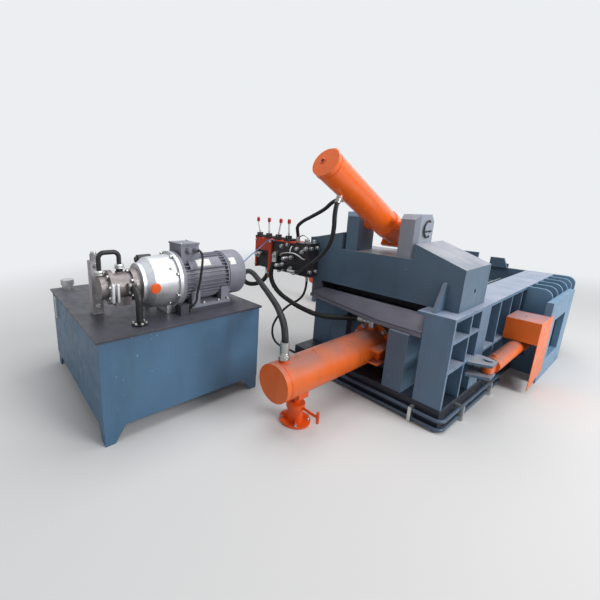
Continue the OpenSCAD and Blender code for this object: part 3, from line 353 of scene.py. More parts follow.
def worn_paint(name, rgb, dirt, chip_and_edge_light, rough=0.45, chips=0.70, dirtiness=0.45, edge_wear_and_light=0.35, dust=None, coat=0.12,
               left=None):
    """Sprayed machine paint with grime clouds, runs, edges lightened partly by rubbed paint and partly by a
    painted highlight, and a few chips down to the metal.

    Dust lies on what looks up. A second colour, if given, is painted shade on the parts left of the frame's
    middle."""
    mat, tree, bsdf = shader(name, rgb, rough, coat=coat)
    tone = clouds(tree, rgb, tuple(c * 0.88 for c in rgb), 2.2, 0.3, 0.7)
    streak = ramp(tree, noise(tree, 9.0, 6, (1, 1, 0.16)), [(0.50, grey(0)), (0.85, grey(dirtiness))])
    tone = mix(tree, streak, tone, linear(dirt))
    smear = ramp(tree, noise(tree, 5.0, 7, (1, 1, 0.5), 0.7), [(0.55, grey(0)), (0.72, grey(dirtiness * 0.6))])
    tone = mix(tree, smear, tone, linear(dirt))
    spots = ramp(tree, noise(tree, 46.0, 3), [(chips, grey(0)), (chips + 0.02, grey(0.8))])
    patch = ramp(tree, noise(tree, 3.5, 2), [(0.52, grey(0)), (0.64, grey(1))])
    tone = mix(tree, mix(tree, 1.0, spots, patch, "MULTIPLY"), tone, linear(chip_and_edge_light))
    # Painted shade: the parts left of the middle take the second, darker colour.
    if left:
        side = ramp(tree, part_of(tree, "Object", "X"), [(0.0, grey(1)), (0.01, grey(0))])
        tone = mix(tree, side, tone, linear(left))
    if dust:
        lies = ramp(tree, noise(tree, 6.0, 6), [(0.30, grey(0.45)), (0.60, grey(0.95))])
        tone = mix(tree, mix(tree, 1.0, upward(tree), lies, "MULTIPLY"), tone, linear(dust))
    # Edges lighten towards the chip colour: partly rubbed paint, partly a painted highlight.
    rolled, rim = rounded_edges(tree, 0.0025)
    rubbed_and_lit = ramp(tree, noise(tree, 24.0, 5), [(0.40, grey(0.15)), (0.62, grey(edge_wear_and_light))])
    tone = mix(tree, mix(tree, 1.0, rim, rubbed_and_lit, "MULTIPLY"), tone, linear(chip_and_edge_light))
    tree.links.new(tone, bsdf.inputs["Base Color"])
    tree.links.new(ramp(tree, noise(tree, 14.0, 4), [(0.3, grey(rough - 0.10)), (0.7, grey(rough + 0.16))]),
                   bsdf.inputs["Roughness"])
    bump(tree, bsdf, noise(tree, 120.0, 3), 0.10, 0.001, rolled)
    return mat


def bare_metal(name, rgb, rough, scale, metal, stretch=(1, 1, 1)):
    """Metal or hard plastic with dull clouds and fine grain, drawn out along an axis where stretch says so."""
    mat, tree, bsdf = shader(name, rgb, rough, metal)
    tone = clouds(tree, rgb, tuple(c * 0.72 for c in rgb), 7.0, 0.35, 0.75)
    tree.links.new(tone, bsdf.inputs["Base Color"])
    stops = [(0.3, grey(max(0.05, rough - 0.1))), (0.7, grey(rough + 0.15))]
    tree.links.new(ramp(tree, noise(tree, scale, 4, stretch), stops), bsdf.inputs["Roughness"])
    bump(tree, bsdf, noise(tree, scale * 2, 3, stretch), 0.12, 0.0006)
    return mat


def rubber(name, rgb):
    mat, tree, bsdf = shader(name, rgb, 0.55)
    tone = clouds(tree, rgb, tuple(min(1, c + 0.10) for c in rgb), 12.0, 0.45, 0.85, 0.7)
    tree.links.new(tone, bsdf.inputs["Base Color"])
    bump(tree, bsdf, noise(tree, 500.0, 2), 0.25, 0.0005)
    return mat


def make_finishes():
    """All finishes by name: paints as name, colour, dirt, chip and edge-light colour, and options, then metals
    and rubbers.
    """
    rust = (0.36, 0.24, 0.17)
    grime = (0.24, 0.24, 0.25)
    slate = (0.33, 0.42, 0.50)
    # The chip colours also lighten the paints' edges as a painted highlight.
    blue_chip_and_edge_light = (0.68, 0.74, 0.80)
    red_grime = (0.55, 0.22, 0.12)
    pink_chip_and_edge_light = (0.98, 0.62, 0.45)
    paints = {
        "frame_blue": ("Blue frame paint", (0.37, 0.48, 0.58), (0.28, 0.31, 0.35), blue_chip_and_edge_light,
                       dict(edge_wear_and_light=0.7, dust=(0.60, 0.63, 0.70))),
        "frame_slate": ("Slate frame paint", slate, (0.25, 0.28, 0.32), blue_chip_and_edge_light,
                        dict(edge_wear_and_light=0.7, dust=(0.62, 0.62, 0.65))),
        "light_blue": ("Outlet blue paint", (0.42, 0.56, 0.67), (0.30, 0.35, 0.42), blue_chip_and_edge_light),
        # The base is painted darker than the rest of the frame.
        "base_dark": ("Dark base paint", (0.14, 0.17, 0.22), (0.12, 0.13, 0.15), (0.45, 0.50, 0.56)),
        # Painted light: the deck's grey is made lighter to stand in for the light that reaches it under the
        # beam.
        "deck_grey": ("Deck paint lightened as painted light", (0.46, 0.46, 0.52), (0.34, 0.33, 0.35), (0.62, 0.62, 0.64)),
        # Both cheeks have the same pale paint; the left one is given the slate colour as painted shade.
        "cheek_pale_shaded_left": ("Pale cheek paint, left cheek shaded", (0.58, 0.61, 0.66), (0.40, 0.41, 0.42), (0.80, 0.82, 0.85),
                       dict(left=slate)),
        "orange": ("Orange cylinder paint", (0.95, 0.36, 0.08), red_grime, pink_chip_and_edge_light,
                   dict(rough=0.33, chips=0.74, dirtiness=0.42, edge_wear_and_light=0.6)),
        "orange_gloss": ("Glossy orange paint", (1.0, 0.43, 0.09), (0.70, 0.26, 0.12), pink_chip_and_edge_light,
                         dict(rough=0.22, chips=0.76, dirtiness=0.30, edge_wear_and_light=0.6, coat=0.5)),
        "orange_dusty": ("Dusty orange paint", (0.93, 0.42, 0.13), red_grime, pink_chip_and_edge_light,
                         dict(rough=0.36, chips=0.74, dirtiness=0.42, edge_wear_and_light=0.6, dust=(0.58, 0.42, 0.38))),
        "hood_dusty": ("Dusty guard paint", (0.95, 0.44, 0.14), red_grime, pink_chip_and_edge_light,
                       dict(rough=0.36, chips=0.78, dirtiness=0.25, edge_wear_and_light=0.6, dust=(0.66, 0.55, 0.56))),
        "tank_blue": ("Blue tank paint", (0.29, 0.43, 0.55), grime, (0.58, 0.68, 0.78), dict(dirtiness=0.3)),
        "tank_dark": ("Oiled tank lid paint", (0.27, 0.27, 0.31), (0.14, 0.13, 0.13), (0.46, 0.46, 0.50)),
        "motor_grey": ("Motor paint", (0.52, 0.53, 0.58), grime, (0.7, 0.7, 0.74), dict(dirtiness=0.3)),
        "grey_paint": ("Light grey paint", (0.70, 0.68, 0.70), grime, rust, dict(dirtiness=0.3)),
        "black_steel": ("Black paint", (0.13, 0.13, 0.14), (0.22, 0.21, 0.20), (0.40, 0.39, 0.39)),
        "lever_paint": ("White lever paint", (0.88, 0.86, 0.84), grime, rust, dict(dirtiness=0.25)),
        "valve_black": ("Valve body paint", (0.15, 0.14, 0.16), (0.26, 0.20, 0.20), (0.45, 0.45, 0.46)),
        "pipe_paint": ("Pipe paint", (0.27, 0.34, 0.42), grime, (0.55, 0.60, 0.66)),
        "knob_red": ("Red knob plastic", (0.78, 0.13, 0.10), (0.4, 0.08, 0.07), (0.85, 0.25, 0.2),
                     dict(rough=0.3)),
        "plate_orange": ("Valve plate paint", (0.84, 0.27, 0.14), (0.42, 0.15, 0.10), (0.90, 0.50, 0.40)),
        "label": ("Bare nameplate", (0.90, 0.90, 0.88), (0.7, 0.7, 0.68), (0.8, 0.8, 0.8),
                  dict(dirtiness=0.2)),
    }
    finishes = {}
    for key, (name, rgb, dirt, chip_and_edge_light, *options) in paints.items():
        finishes[key] = worn_paint(name, rgb, dirt, chip_and_edge_light, **(options[0] if options else {}))
    finishes.update({
        "wear_steel": bare_metal("Worn liner steel", (0.45, 0.43, 0.41), 0.45, 30, 0.8, (1, 0.1, 1)),
        "rod_steel": bare_metal("Chromed rod", (0.80, 0.81, 0.83), 0.14, 40, 1.0),
        "bell_alu": bare_metal("Cast bell housing", (0.84, 0.85, 0.87), 0.40, 60, 0.75, (1, 0.08, 1)),
        "pump_iron": bare_metal("Raw pump iron", (0.52, 0.49, 0.49), 0.45, 80, 0.6),
        "zinc": bare_metal("Zinc plate", (0.80, 0.81, 0.80), 0.34, 55, 0.9),
        "gauge_plastic": bare_metal("Gauge plastic", (0.82, 0.84, 0.82), 0.25, 20, 0.0),
        "hose_rubber": rubber("Hose rubber", (0.10, 0.10, 0.11)),
        "line_blue": rubber("Blue line", (0.32, 0.52, 0.72)),
    })
    return finishes


# ---------------------------------------------------------------- bolts

def bolt_head(name, width, height):
    """One hexagon head with a washer under it, standing on the XY plane."""
    washer = cylinder("washer", width * 0.68, height * 0.22, (0, 0, height * 0.11), 20)
    head = cylinder("head", width * HEX, height, (0, 0, height * 0.72), 6)
    bevel(head, width * 0.05, 1)
    bevel(washer, width * 0.03, 1)
    return join([head, washer], name)


def copies(pattern, places, name):
    """Copies a small part to each place, given as a matrix, and joins the copies."""
    made = []
    for place in places:
        copy = pattern.copy()
        copy.data = pattern.data.copy()
        bpy.context.collection.objects.link(copy)
        copy.matrix_world = place
        made.append(copy)
    deselect()
    for copy in made:
        copy.select_set(True)
    bpy.context.view_layer.objects.active = made[0]
    bpy.ops.object.transform_apply(location=True, rotation=True, scale=True)
    joined = join(made, name)
    bpy.data.objects.remove(pattern, do_unlink=True)
    return joined


FACING = {
    "-Y": Matrix.Rotation(math.radians(90), 4, "X"),
    "+X": Matrix.Rotation(math.radians(90), 4, "Y"),
    "+Z": Matrix.Identity(4),
}


def place(x, y, z, facing, turn=0.0):
    """A place for a bolt, with y counted from the frame's front face."""
    return Matrix.Translation((x, FRONT + y, z)) @ FACING[facing] @ Matrix.Rotation(turn, 4, "Z")


def ring_places(x, y, z, facing, radius, count, start=0.0):
    """Places on a circle that faces the front or looks up."""
    found = []
    for i in range(count):
        a = start + 2 * math.pi * i / count
        across, along = radius * math.cos(a), radius * math.sin(a)
        if facing == "-Y":
            found.append(place(x + across, y, z + along, facing, a))
        else:
            found.append(place(x + across, y + along, z, facing, a))
    return found


def bolts(name, places, width, height, finish="zinc"):
    piece = copies(bolt_head(name + "_pattern", width, height), places, name)
    dress(piece, finish, "frame")


# ---------------------------------------------------------------- hoses and turned parts

def sweep(name, route, radius, sides=4):
    """A smooth line through the points of a route, as a mesh tube, or as a bare line with no radius."""
    curve = bpy.data.curves.new(name, "CURVE")
    curve.dimensions = "3D"
    curve.bevel_depth = radius
    curve.bevel_resolution = sides
    curve.resolution_u = 6
    curve.use_fill_caps = radius > 0
    spline = curve.splines.new("BEZIER")
    spline.bezier_points.add(len(route) - 1)
    for point, (x, y, z) in zip(spline.bezier_points, route):
        point.co = (x, FRONT + y, z)
        point.handle_left_type = point.handle_right_type = "AUTO"
    only(placed(name, curve))
    bpy.ops.object.convert(target="MESH")
    bpy.ops.object.shade_smooth_by_angle(angle=math.radians(50))
    return bpy.context.object


def hose(name, node, route, diameter, follows=None, finish="hose_rubber"):
    """A hanging hose along its route, which takes the place of a CAD node if one is given.

    If it follows a body, it is given no body and its place is baked into its mesh."""
    line = sweep(name + "_line", route, 0.0)
    bpy.data.objects.remove(line, do_unlink=True)
    piece = sweep(name, route, diameter / 2, 5)
    dress(piece, finish, None if follows else "frame")
    if follows:
        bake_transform(piece)
    if node:
        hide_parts(node)


def lathe(name, profile, steps=28):
    """Spins a closed outline of (radius, height) pairs round Z."""
    points = [(r, 0.0, z) for r, z in profile]
    piece = built(name, points, [], [(k, (k + 1) % len(points)) for k in range(len(points))])
    bpy.ops.object.mode_set(mode="EDIT")
    bpy.ops.mesh.select_all(action="SELECT")
    bpy.ops.mesh.spin(steps=steps, angle=2 * math.pi, center=(0, 0, 0), axis=(0, 0, 1))
    bpy.ops.mesh.select_all(action="SELECT")
    bpy.ops.mesh.remove_doubles(threshold=0.00001)
    bpy.ops.mesh.normals_make_consistent(inside=False)
    bpy.ops.object.mode_set(mode="OBJECT")
    bpy.ops.object.shade_smooth_by_angle(angle=SMOOTH)
    return piece


def towards(tip, direction):
    """A turn and shift that sets a piece made along +Z at a point, looking along a direction."""
    turn = Vector((0, 0, 1)).rotation_difference(Vector(direction).normalized())
    return Matrix.Translation(Vector(tip)) @ turn.to_matrix().to_4x4()


def hose_end(name, tip, direction, radius, body="frame", back=2.2):
    """A crimped sleeve over the end of a hose and the hexagon nut in front of it."""
    length, gap = radius * back, 0.002
    outer = radius * 1.22
    groove = outer - 0.0014
    profile = [(radius * 0.7, 0.0), (radius * 0.7, -length), (outer, -length), (outer, -length * 0.86)]
    for k in range(3):
        base = -length * (0.80 - 0.22 * k)
        profile += [(groove, base), (groove, base + length * 0.05), (outer, base + length * 0.07),
                    (outer, base + length * 0.16)]
    profile += [(outer, -0.001), (outer - 0.001, 0.0)]
    sleeve = lathe(name + "_sleeve", profile)
    hexagon = cylinder(name + "_hex", radius * 1.42, radius * 0.95, (0, 0, gap + radius * 0.475), 6)
    bevel(hexagon, radius * 0.08, 2)
    piece = join([sleeve, hexagon], name)
    x, y, z = tip
    piece.data.transform(towards((x, FRONT + y, z), direction))
    dress(piece, "zinc", body)


# ---------------------------------------------------------------- settings

class BalerSizes(bpy.types.PropertyGroup):
    bolt_width: bpy.props.FloatProperty(
        name="Bolt width", description="Width across the flats of the large bolts", default=0.030,
        unit="LENGTH")
    main_hose: bpy.props.FloatProperty(
        name="Main hose", description="Outer diameter of the two main hoses", default=0.038, unit="LENGTH")
    thin_hose: bpy.props.FloatProperty(
        name="Lid hose", description="Outer diameter of the two lid hoses", default=0.026, unit="LENGTH")
    knob_size: bpy.props.FloatProperty(
        name="Knob size", description="Diameter of the lever knobs", default=0.026, unit="LENGTH")


class BalerLook(bpy.types.PropertyGroup):
    floor_tone: bpy.props.FloatVectorProperty(
        name="Floor", description="Colour of the floor", subtype="COLOR", size=3,
        default=(0.60, 0.60, 0.60))
    key_power: bpy.props.FloatProperty(
        name="Key light", description="Power of the large light beside the outlet", default=420.0,
        unit="POWER")


class BALER_OT_camera(bpy.types.Operator):
    """Set the camera at the photograph's viewpoint"""
    bl_idname = "baler.camera"
    bl_label = "Camera"

    def execute(self, context):
        data = bpy.data.cameras.new("Camera")
        data.sensor_fit = "HORIZONTAL"
        picture, focal, middle_x, middle_y = 600.0, 336.0, 226.6, 277.7     # in pixels of the photograph
        sensor = 36.0
        data.sensor_width = sensor
        data.lens = sensor * focal / picture
        data.shift_x = (picture / 2 - middle_x) / picture
        data.shift_y = (middle_y - picture / 2) / picture
        data.clip_end = 200.0
        camera = placed("Camera", data)
        heading, tilt, roll = math.radians(53.38), math.radians(76.92), math.radians(1.13)
        turn = (Matrix.Rotation(heading, 4, "Z") @ Matrix.Rotation(tilt, 4, "X")
                @ Matrix.Rotation(roll, 4, "Z"))
        camera.matrix_world = Matrix.Translation((1.154, -2.962, 1.260)) @ turn
        context.scene.camera = camera
        return {"FINISHED"}


class BALER_OT_hoses(bpy.types.Operator):
    """Hang the flexible hoses between the valve and the cylinders"""
    bl_idname = "baler.hoses"
    bl_label = "Hoses"

    def execute(self, context):
        sizes = context.scene.baler_sizes
        hose("main_hose_front", "hose_main_1", MAIN_1, sizes.main_hose)
        hose("main_hose_back", "hose_main_2", MAIN_2, sizes.main_hose)
        hose("lid_hose_cap", "hose_lid_1", LID_1, sizes.thin_hose, "lid_barrel")
        hose("lid_hose_rod", "hose_lid_2", LID_2, sizes.thin_hose, "lid_barrel")
        hose("gate_hose", "hose_gate", GATE_LINE, GATE_HOSE)
        hose("motor_lead", "motor_cable", MOTOR_LEAD, LEAD)
        hose("blue_line", None, BLUE_LINE, THIN_LINE, finish="line_blue")
        return {"FINISHED"}


class BALER_OT_hose_ends(bpy.types.Operator):
    """Crimp a sleeve and a nut on each end of the hoses"""
    bl_idname = "baler.hose_ends"
    bl_label = "Hose ends"

    def execute(self, context):
        thick = context.scene.baler_sizes.main_hose / 2
        thin = context.scene.baler_sizes.thin_hose / 2
        slope = (0.0, math.sin(LID_SLOPE), math.cos(LID_SLOPE))
        hose_end("main_hose_front_valve_end", MAIN_1[0], (0, 0, 1), thick)
        hose_end("main_hose_back_valve_end", MAIN_2[0], (0, 0, 1), thick)
        hose_end("main_hose_back_port_end", MAIN_2[-1], (1, 0, 0), thick)
        hose_end("lid_hose_cap_port_end", LID_1[0], slope, thin, "lid_barrel")
        hose_end("lid_hose_cap_valve_end", LID_1[-1], (-1, 0, 0), thin)
        hose_end("lid_hose_rod_port_end", LID_2[0], (1, 0, 0), thin, "lid_barrel")
        hose_end("lid_hose_rod_valve_end", LID_2[-1], (0, 0, -1), thin)
        hose_end("gate_hose_valve_end", GATE_LINE[0], (0, 0, 1), GATE_HOSE / 2, back=3.0)
        hose_end("gate_hose_line_end", GATE_LINE[-1], (1, 0, 0), GATE_HOSE / 2, back=3.0)
        self.main_port()
        return {"FINISHED"}

    def main_port(self):
        """The long bright sleeve and the two nuts that stand on the main cylinder's cap port."""
        base, top = 0.424, 0.5203
        profile = [(0.015, top), (0.015, base + 0.026), (0.0245, base + 0.026), (0.0245, base + 0.036),
                   (0.0230, base + 0.038), (0.0230, base + 0.043), (0.0240, base + 0.045),
                   (0.0240, top - 0.014), (0.0228, top - 0.012), (0.0228, top - 0.008), (0.0240, top - 0.006),
                   (0.0240, top + 0.004), (0.0200, top + 0.005), (0.0200, top)]
        sleeve = lathe("port_sleeve", profile)
        parts = [sleeve]
        for low, high, width in ((base, base + 0.012, 0.033), (base + 0.013, base + 0.026, 0.030)):
            parts.append(cylinder("port_nut", width, high - low, (0, 0, (low + high) / 2), 6, low * 40))
            bevel(parts[-1], 0.0016, 2)
        piece = join(parts, "main_hose_front_port_end")
        piece.data.transform(Matrix.Translation((0, FRONT + MAIN_PORTS[0], 0)))
        dress(piece, "zinc", "frame")


class BALER_OT_finishes(bpy.types.Operator):
    """Give every CAD solid its paint, metal, rubber or plastic"""
    bl_idname = "baler.finishes"
    bl_label = "Finishes"

    def execute(self, context):
        slots = {row["node"]: row["material_slot"] for row in frame["record"]["subparts"]}
        for node, obj in frame["nodes"].items():
            obj.data.materials.clear()
            obj.data.materials.append(FINISH[OWN_FINISH.get(node, slots[node])])
        return {"FINISHED"}


class BALER_OT_bolts(bpy.types.Operator):
    """Bolt the flanges, the bell ring and the jack's foot"""
    bl_idname = "baler.bolts"
    bl_label = "Bolts"

    def execute(self, context):
        width = context.scene.baler_sizes.bolt_width
        bolts("main_flange_bolts", ring_places(0, 0.185, MAIN_Z, "-Y", 0.127, 10, 0.3), width * 0.8, 0.018)
        bolts("bell_ring_bolts", ring_places(MOTOR[0], -1.057, MOTOR[1], "-Y", 0.165, 8, 0.39), 0.020, 0.012)
        bolts("jack_disc_bolts", ring_places(0, -0.583, 0.012, "+Z", 0.075, 4, 0.78), 0.016, 0.009)
        bolts("suction_flange_bolts", ring_places(-0.509, -1.308, 0.598, "+Z", 0.034, 6), 0.012, 0.007)
        return {"FINISHED"}


class BALER_OT_levers(bpy.types.Operator):
    """Shape the valve levers with their red knobs"""
    bl_idname = "baler.levers"
    bl_label = "Levers"

    def execute(self, context):
        size = context.scene.baler_sizes.knob_size
        foot, head, knob_middle, knob_length = 1.001, 1.084, 1.102, 0.038
        for number, (x, lean) in enumerate(zip(LEVER_X, KNOB_LEAN), 1):
            knob = cylinder("lever_knob_%d" % number, size / 2, knob_length,
                            (x + lean, FRONT + LEVER_Y, knob_middle), 24)
            bevel(knob, size * 0.3, 4)
            dress(knob, "knob_red", "lever_%d" % number)
            length = math.hypot(lean, head - foot)
            rod = lathe("lever_rod_%d" % number, [(0, 0), (0.0085, 0), (0.0085, 0.012), (0.0066, 0.016),
                                                  (0.0066, length), (0, length)], 20)
            rod.data.transform(towards((x, FRONT + LEVER_Y, foot), (lean, 0, head - foot)))
            dress(rod, "lever_paint", "lever_%d" % number)
        return {"FINISHED"}


class BALER_OT_valve_fittings(bpy.types.Operator):
    """Screw the adapters, cartridges and thin bent tubes into the valve body"""
    bl_idname = "baler.valve_fittings"
    bl_label = "Valve fittings"

    def cartridge(self, name, x, z, reach, radius):
        """A plated cartridge standing out of the valve's front face."""
        stem = lathe(name + "_stem", [(0, 0), (radius * 0.8, 0), (radius * 0.8, reach * 0.35),
                                      (radius * 0.55, reach * 0.38), (radius * 0.55, reach * 0.52),
                                      (radius, reach * 0.54), (radius, reach * 0.92),
                                      (radius * 0.8, reach), (0, reach)], 20)
        collar = cylinder(name + "_collar", radius * 1.25, reach * 0.16, (0, 0, reach * 0.16), 6)
        bevel(collar, radius * 0.08, 2)
        piece = join([stem, collar], name)
        piece.data.transform(towards((x, FRONT, z), (0, -1, 0)))
        dress(piece, "zinc", "frame")

    def execute(self, context):
        self.cartridge("relief_cartridge", -0.622, 0.830, 0.120, 0.014)
        self.cartridge("check_cartridge", -0.714, 0.762, 0.100, 0.014)
        self.cartridge("lower_cartridge", -0.709, 0.712, 0.075, 0.007)
        self.cartridge("corner_cartridge", -0.560, 0.716, 0.065, 0.008)
        for name, route in (("pilot_tube_front", PILOT_FRONT), ("pilot_tube_stub", PILOT_STUB),
                            ("pilot_tube_top", PILOT_TOP)):
            dress(sweep(name, route, PILOT_RADIUS), "zinc", "frame")
        bolts("valve_face_plugs", [place(x, 0.0, z, "-Y", x * 9) for x, z in FACE_PLUGS], 0.026, 0.016)
        bolts("valve_top_plugs", [place(x, y, VALVE_TOP, "+Z", x * 9) for x, y in TOP_PLUGS], 0.026, 0.020)
        bolts("valve_tie_nuts", [place(-0.477, y, z, "+X", y) for y in (0.025, 0.095) for z in (0.735, 0.915)],
              0.024, 0.016)
        bolts("console_bolts", [place(x, CONSOLE_Y, z, "-Y") for x, z in CONSOLE_BOLTS], 0.014, 0.008)
        knob = lathe("gauge_port", [(0, 0), (0.017, 0), (0.017, 0.010), (0.022, 0.012), (0.022, 0.034),
                                    (0.016, 0.040), (0.016, 0.062), (0.010, 0.066), (0, 0.066)], 24)
        knob.data.transform(towards((-0.975, FRONT + CONSOLE_Y, 0.812), (0, -1, 0)))
        dress(knob, "zinc", "frame")
        return {"FINISHED"}


class BALER_OT_keeper(bpy.types.Operator):
    """Set the black open ring that keeps the trunnion pin in the outer cheek"""
    bl_idname = "baler.keeper"
    bl_label = "Pin keeper"

    def execute(self, context):
        steps, inner, outer, thick = 30, 0.043, 0.055, 0.006
        first, span = 62, 236      # degrees from +Y, so that the ring is open towards the back
        turns = [math.radians(first + span * k / steps) for k in range(steps + 1)]
        ring = arc_bar("pin_keeper", [[(depth, radius * math.cos(turn), radius * math.sin(turn))
                                       for radius in (inner, outer) for depth in (0.0, thick)]
                                      for turn in turns])
        pin_end = (0.221, FRONT + 0.252, 1.108)
        ring.data.transform(Matrix.Translation(pin_end))
        parts = [ring]
        for y in (0.228, 0.282):
            parts.append(block("keeper_bar", (0.2245, FRONT + y, 1.094), (0.007, 0.036, 0.011)))
            bevel(parts[-1], 0.002, 2)
        keeper = join(parts, "pin_keeper")
        bevel(keeper, 0.0012, 1)
        dress(keeper, "black_steel", "frame")
        return {"FINISHED"}


class BALER_OT_plates(bpy.types.Operator):
    """Rivet the bare plates to the motor and set the plain disc on the bell housing"""
    bl_idname = "baler.plates"
    bl_label = "Bare plates"

    def curved_plate(self, name, radius, y0, y1, a0, a1, thick, finish, slot=None):
        """A thin plate bent round the motor's axis, from one angle above level to another."""
        steps = 10
        turns = [math.radians(a0 + (a1 - a0) * k / steps) for k in range(steps + 1)]
        piece = arc_bar(name, [[(MOTOR[0] + r * math.cos(turn), FRONT + y, MOTOR[1] + r * math.sin(turn))
                                for r in (radius, radius + thick) for y in (y0, y1)] for turn in turns])
        bevel(piece, 0.0008, 1)
        dress(piece, finish, "frame")

    def execute(self, context):
        seat, gap = 0.004, 0.0002
        self.curved_plate("nameplate_seat", FIN_RADIUS, -0.965, -0.735, 31, 60, seat, "motor_grey")
        self.curved_plate("bare_nameplate", FIN_RADIUS + seat + gap, -0.915, -0.815, 35, 54, 0.002,
                          "label", "gauge_plastic")
        self.curved_plate("bare_cowl_label", COWL_RADIUS + gap, -0.670, -0.622, 30, 50, 0.0012,
                          "label", "gauge_plastic")
        disc = lathe("plain_disc", [(0, 0), (0.029, 0), (0.030, 0.001), (0.030, 0.003), (0.028, 0.004),
                                    (0, 0.004)], 40)
        disc.data.transform(towards((MOTOR[0] + 0.1505, FRONT - 1.203, MOTOR[1] - 0.003), (1, 0, -0.02)))
        dress(disc, "orange", "frame")
        return {"FINISHED"}


class BALER_OT_cylinder_details(bpy.types.Operator):
    """Weld the caps on the cylinders and ring their ports"""
    bl_idname = "baler.cylinder_details"
    bl_label = "Cylinder details"

    def seam(self, name, radius, matrix, body, bead=0.0035):
        """A weld bead right round a tube."""
        profile = [(radius + bead * math.cos(a), bead * 1.6 * math.sin(a))
                   for a in (math.radians(45 * k) for k in range(8))]
        piece = lathe(name, profile, 48)
        piece.data.transform(matrix)
        dress(piece, "orange", body)

    def execute(self, context):
        # Z runs along the lid cylinder from its trunnion towards the lid
        lid_axis = (Matrix.Translation(TRUNNION) @ Matrix.Rotation(-LID_SLOPE, 4, "X")
                    @ Matrix.Rotation(math.radians(-90), 4, "X"))
        self.seam("lid_cap_weld", LID_TUBE, lid_axis @ Matrix.Translation((0, 0, -0.735)), "lid_barrel", 0.0025)
        self.seam("lid_flange_weld", LID_TUBE, lid_axis @ Matrix.Translation((0, 0, 0.161)), "lid_barrel")
        self.seam("main_cap_weld", MAIN_TUBE, place(0, -0.742, MAIN_Z, "-Y"), "frame", 0.0025)
        self.seam("main_flange_weld", MAIN_TUBE, place(0, 0.183, MAIN_Z, "-Y"), "frame")
        self.seam("side_cap_weld", SIDE_TUBE, place(-1.590, SIDE_Y, SIDE_Z, "+X"), "frame")
        self.seam("side_flange_weld", SIDE_TUBE, place(-0.626, SIDE_Y, SIDE_Z, "+X"), "frame")
        self.seam("gate_cap_weld", GATE_TUBE, place(GATE_X, 1.038, GATE_Z, "-Y"), "frame", 0.003)
        for name, x, y, z, radius in (("main_port_weld_front", 0, MAIN_PORTS[0], 0.4085, 0.025),
                                      ("main_port_weld_back", 0, MAIN_PORTS[1], 0.4085, 0.025),
                                      ("gate_port_weld_front", GATE_X, 0.500, 0.352, 0.014),
                                      ("gate_port_weld_back", GATE_X, 1.020, 0.352, 0.014)):
            self.seam(name, radius, place(x, y, z, "+Z"), "frame", 0.004)
        socket = lathe("lid_cap_socket", [(0.009, 0.0), (0.017, 0.0), (0.0165, 0.003), (0.0135, 0.0045),
                                          (0.0105, 0.0045), (0.009, 0.003)], 32)
        # A thin black disc in the socket stands for the dark inside of the cap's hole: painted shade.
        hole_shade = lathe("lid_cap_hole_shade", [(0, 0.0), (0.0092, 0.0), (0.0092, 0.0012), (0, 0.0012)], 24)
        for piece, finish in ((socket, "orange"), (hole_shade, "black_steel")):
            piece.data.transform(lid_axis @ Matrix.Translation((-0.021, -0.010, -0.769))
                                 @ Matrix.Rotation(math.radians(180), 4, "X"))
            dress(piece, finish, "lid_barrel")
        return {"FINISHED"}


class BALER_OT_power_unit(bpy.types.Operator):
    """Bolt the pump, bell housing, motor and pipes together"""
    bl_idname = "baler.power_unit"
    bl_label = "Power unit"

    def on_the_side(self, radius, y, angles):
        """Places on a round housing, looking away from the motor's axis, at angles from +X upwards."""
        x, z = MOTOR
        return [towards((x + radius * math.cos(a), FRONT + y, z + radius * math.sin(a)),
                        (math.cos(a), 0, math.sin(a))) for a in angles]

    def execute(self, context):
        x, z = MOTOR
        bolts("cover_bolts", ring_places(x, -1.425, z, "-Y", 0.082, 8, 0.2), 0.016, 0.010)
        bolts("pump_flange_bolts", ring_places(x, -1.300, z, "-Y", 0.082, 6, 0.5), 0.017, 0.011)
        bolts("suction_port_bolts", [place(x + 0.096, -1.308 + a, z + b, "+X") for a in (-0.021, 0.021)
                                     for b in (-0.021, 0.021)], 0.013, 0.008)
        bolts("motor_foot_bolts", [place(x + a, b, 0.632, "+Z") for a in (-0.14, 0.14)
                                   for b in (-0.955, -0.880, -0.770, -0.698)], 0.018, 0.010)
        bolts("cowl_screws", self.on_the_side(COWL_RADIUS, -0.668, (0.70, 2.44, 3.84, 5.58)), 0.012, 0.006)
        bolts("bell_side_screws", self.on_the_side(BELL_RADIUS, -1.095, (0.65, 2.49, 3.80, 5.46)), 0.013, 0.006)
        bolts("box_lid_screws", [place(x + a, b, 1.000, "+Z") for a in (-0.062, 0.074)
                                 for b in (-1.000, -0.886)], 0.010, 0.005)
        bolts("gland_nuts", [place(-0.592, y, 0.958, "+X") for y in (-0.905, -0.955)], 0.034, 0.012,
              finish="motor_grey")
        bolts("hoop_nuts", [place(-0.700, -1.341, 0.872, "+Z"), place(-0.700, -1.453, 0.846, "+Z")],
              0.046, 0.020)
        bolts("block_plug", [place(-0.830, -1.442, 0.942, "+Z")], 0.030, 0.012)
        bolts("block_side_plugs", [place(-0.800, -1.442, c, "+X") for c in (0.640, 0.690, 0.880)], 0.022, 0.010)
        bolts("filter_cap_nut", [place(-0.850, -1.176, 0.884, "-Y")], 0.034, 0.012, finish="black_steel")
        for name, y in (("pump_pad_back", -1.4185), ("pump_pad_front", -1.392)):
            pad = block(name, (x + 0.076, FRONT + y, z - 0.018), (0.048, 0.016, 0.104))
            bevel(pad, 0.005, 3)
            dress(pad, "bell_alu", "frame")
        return {"FINISHED"}


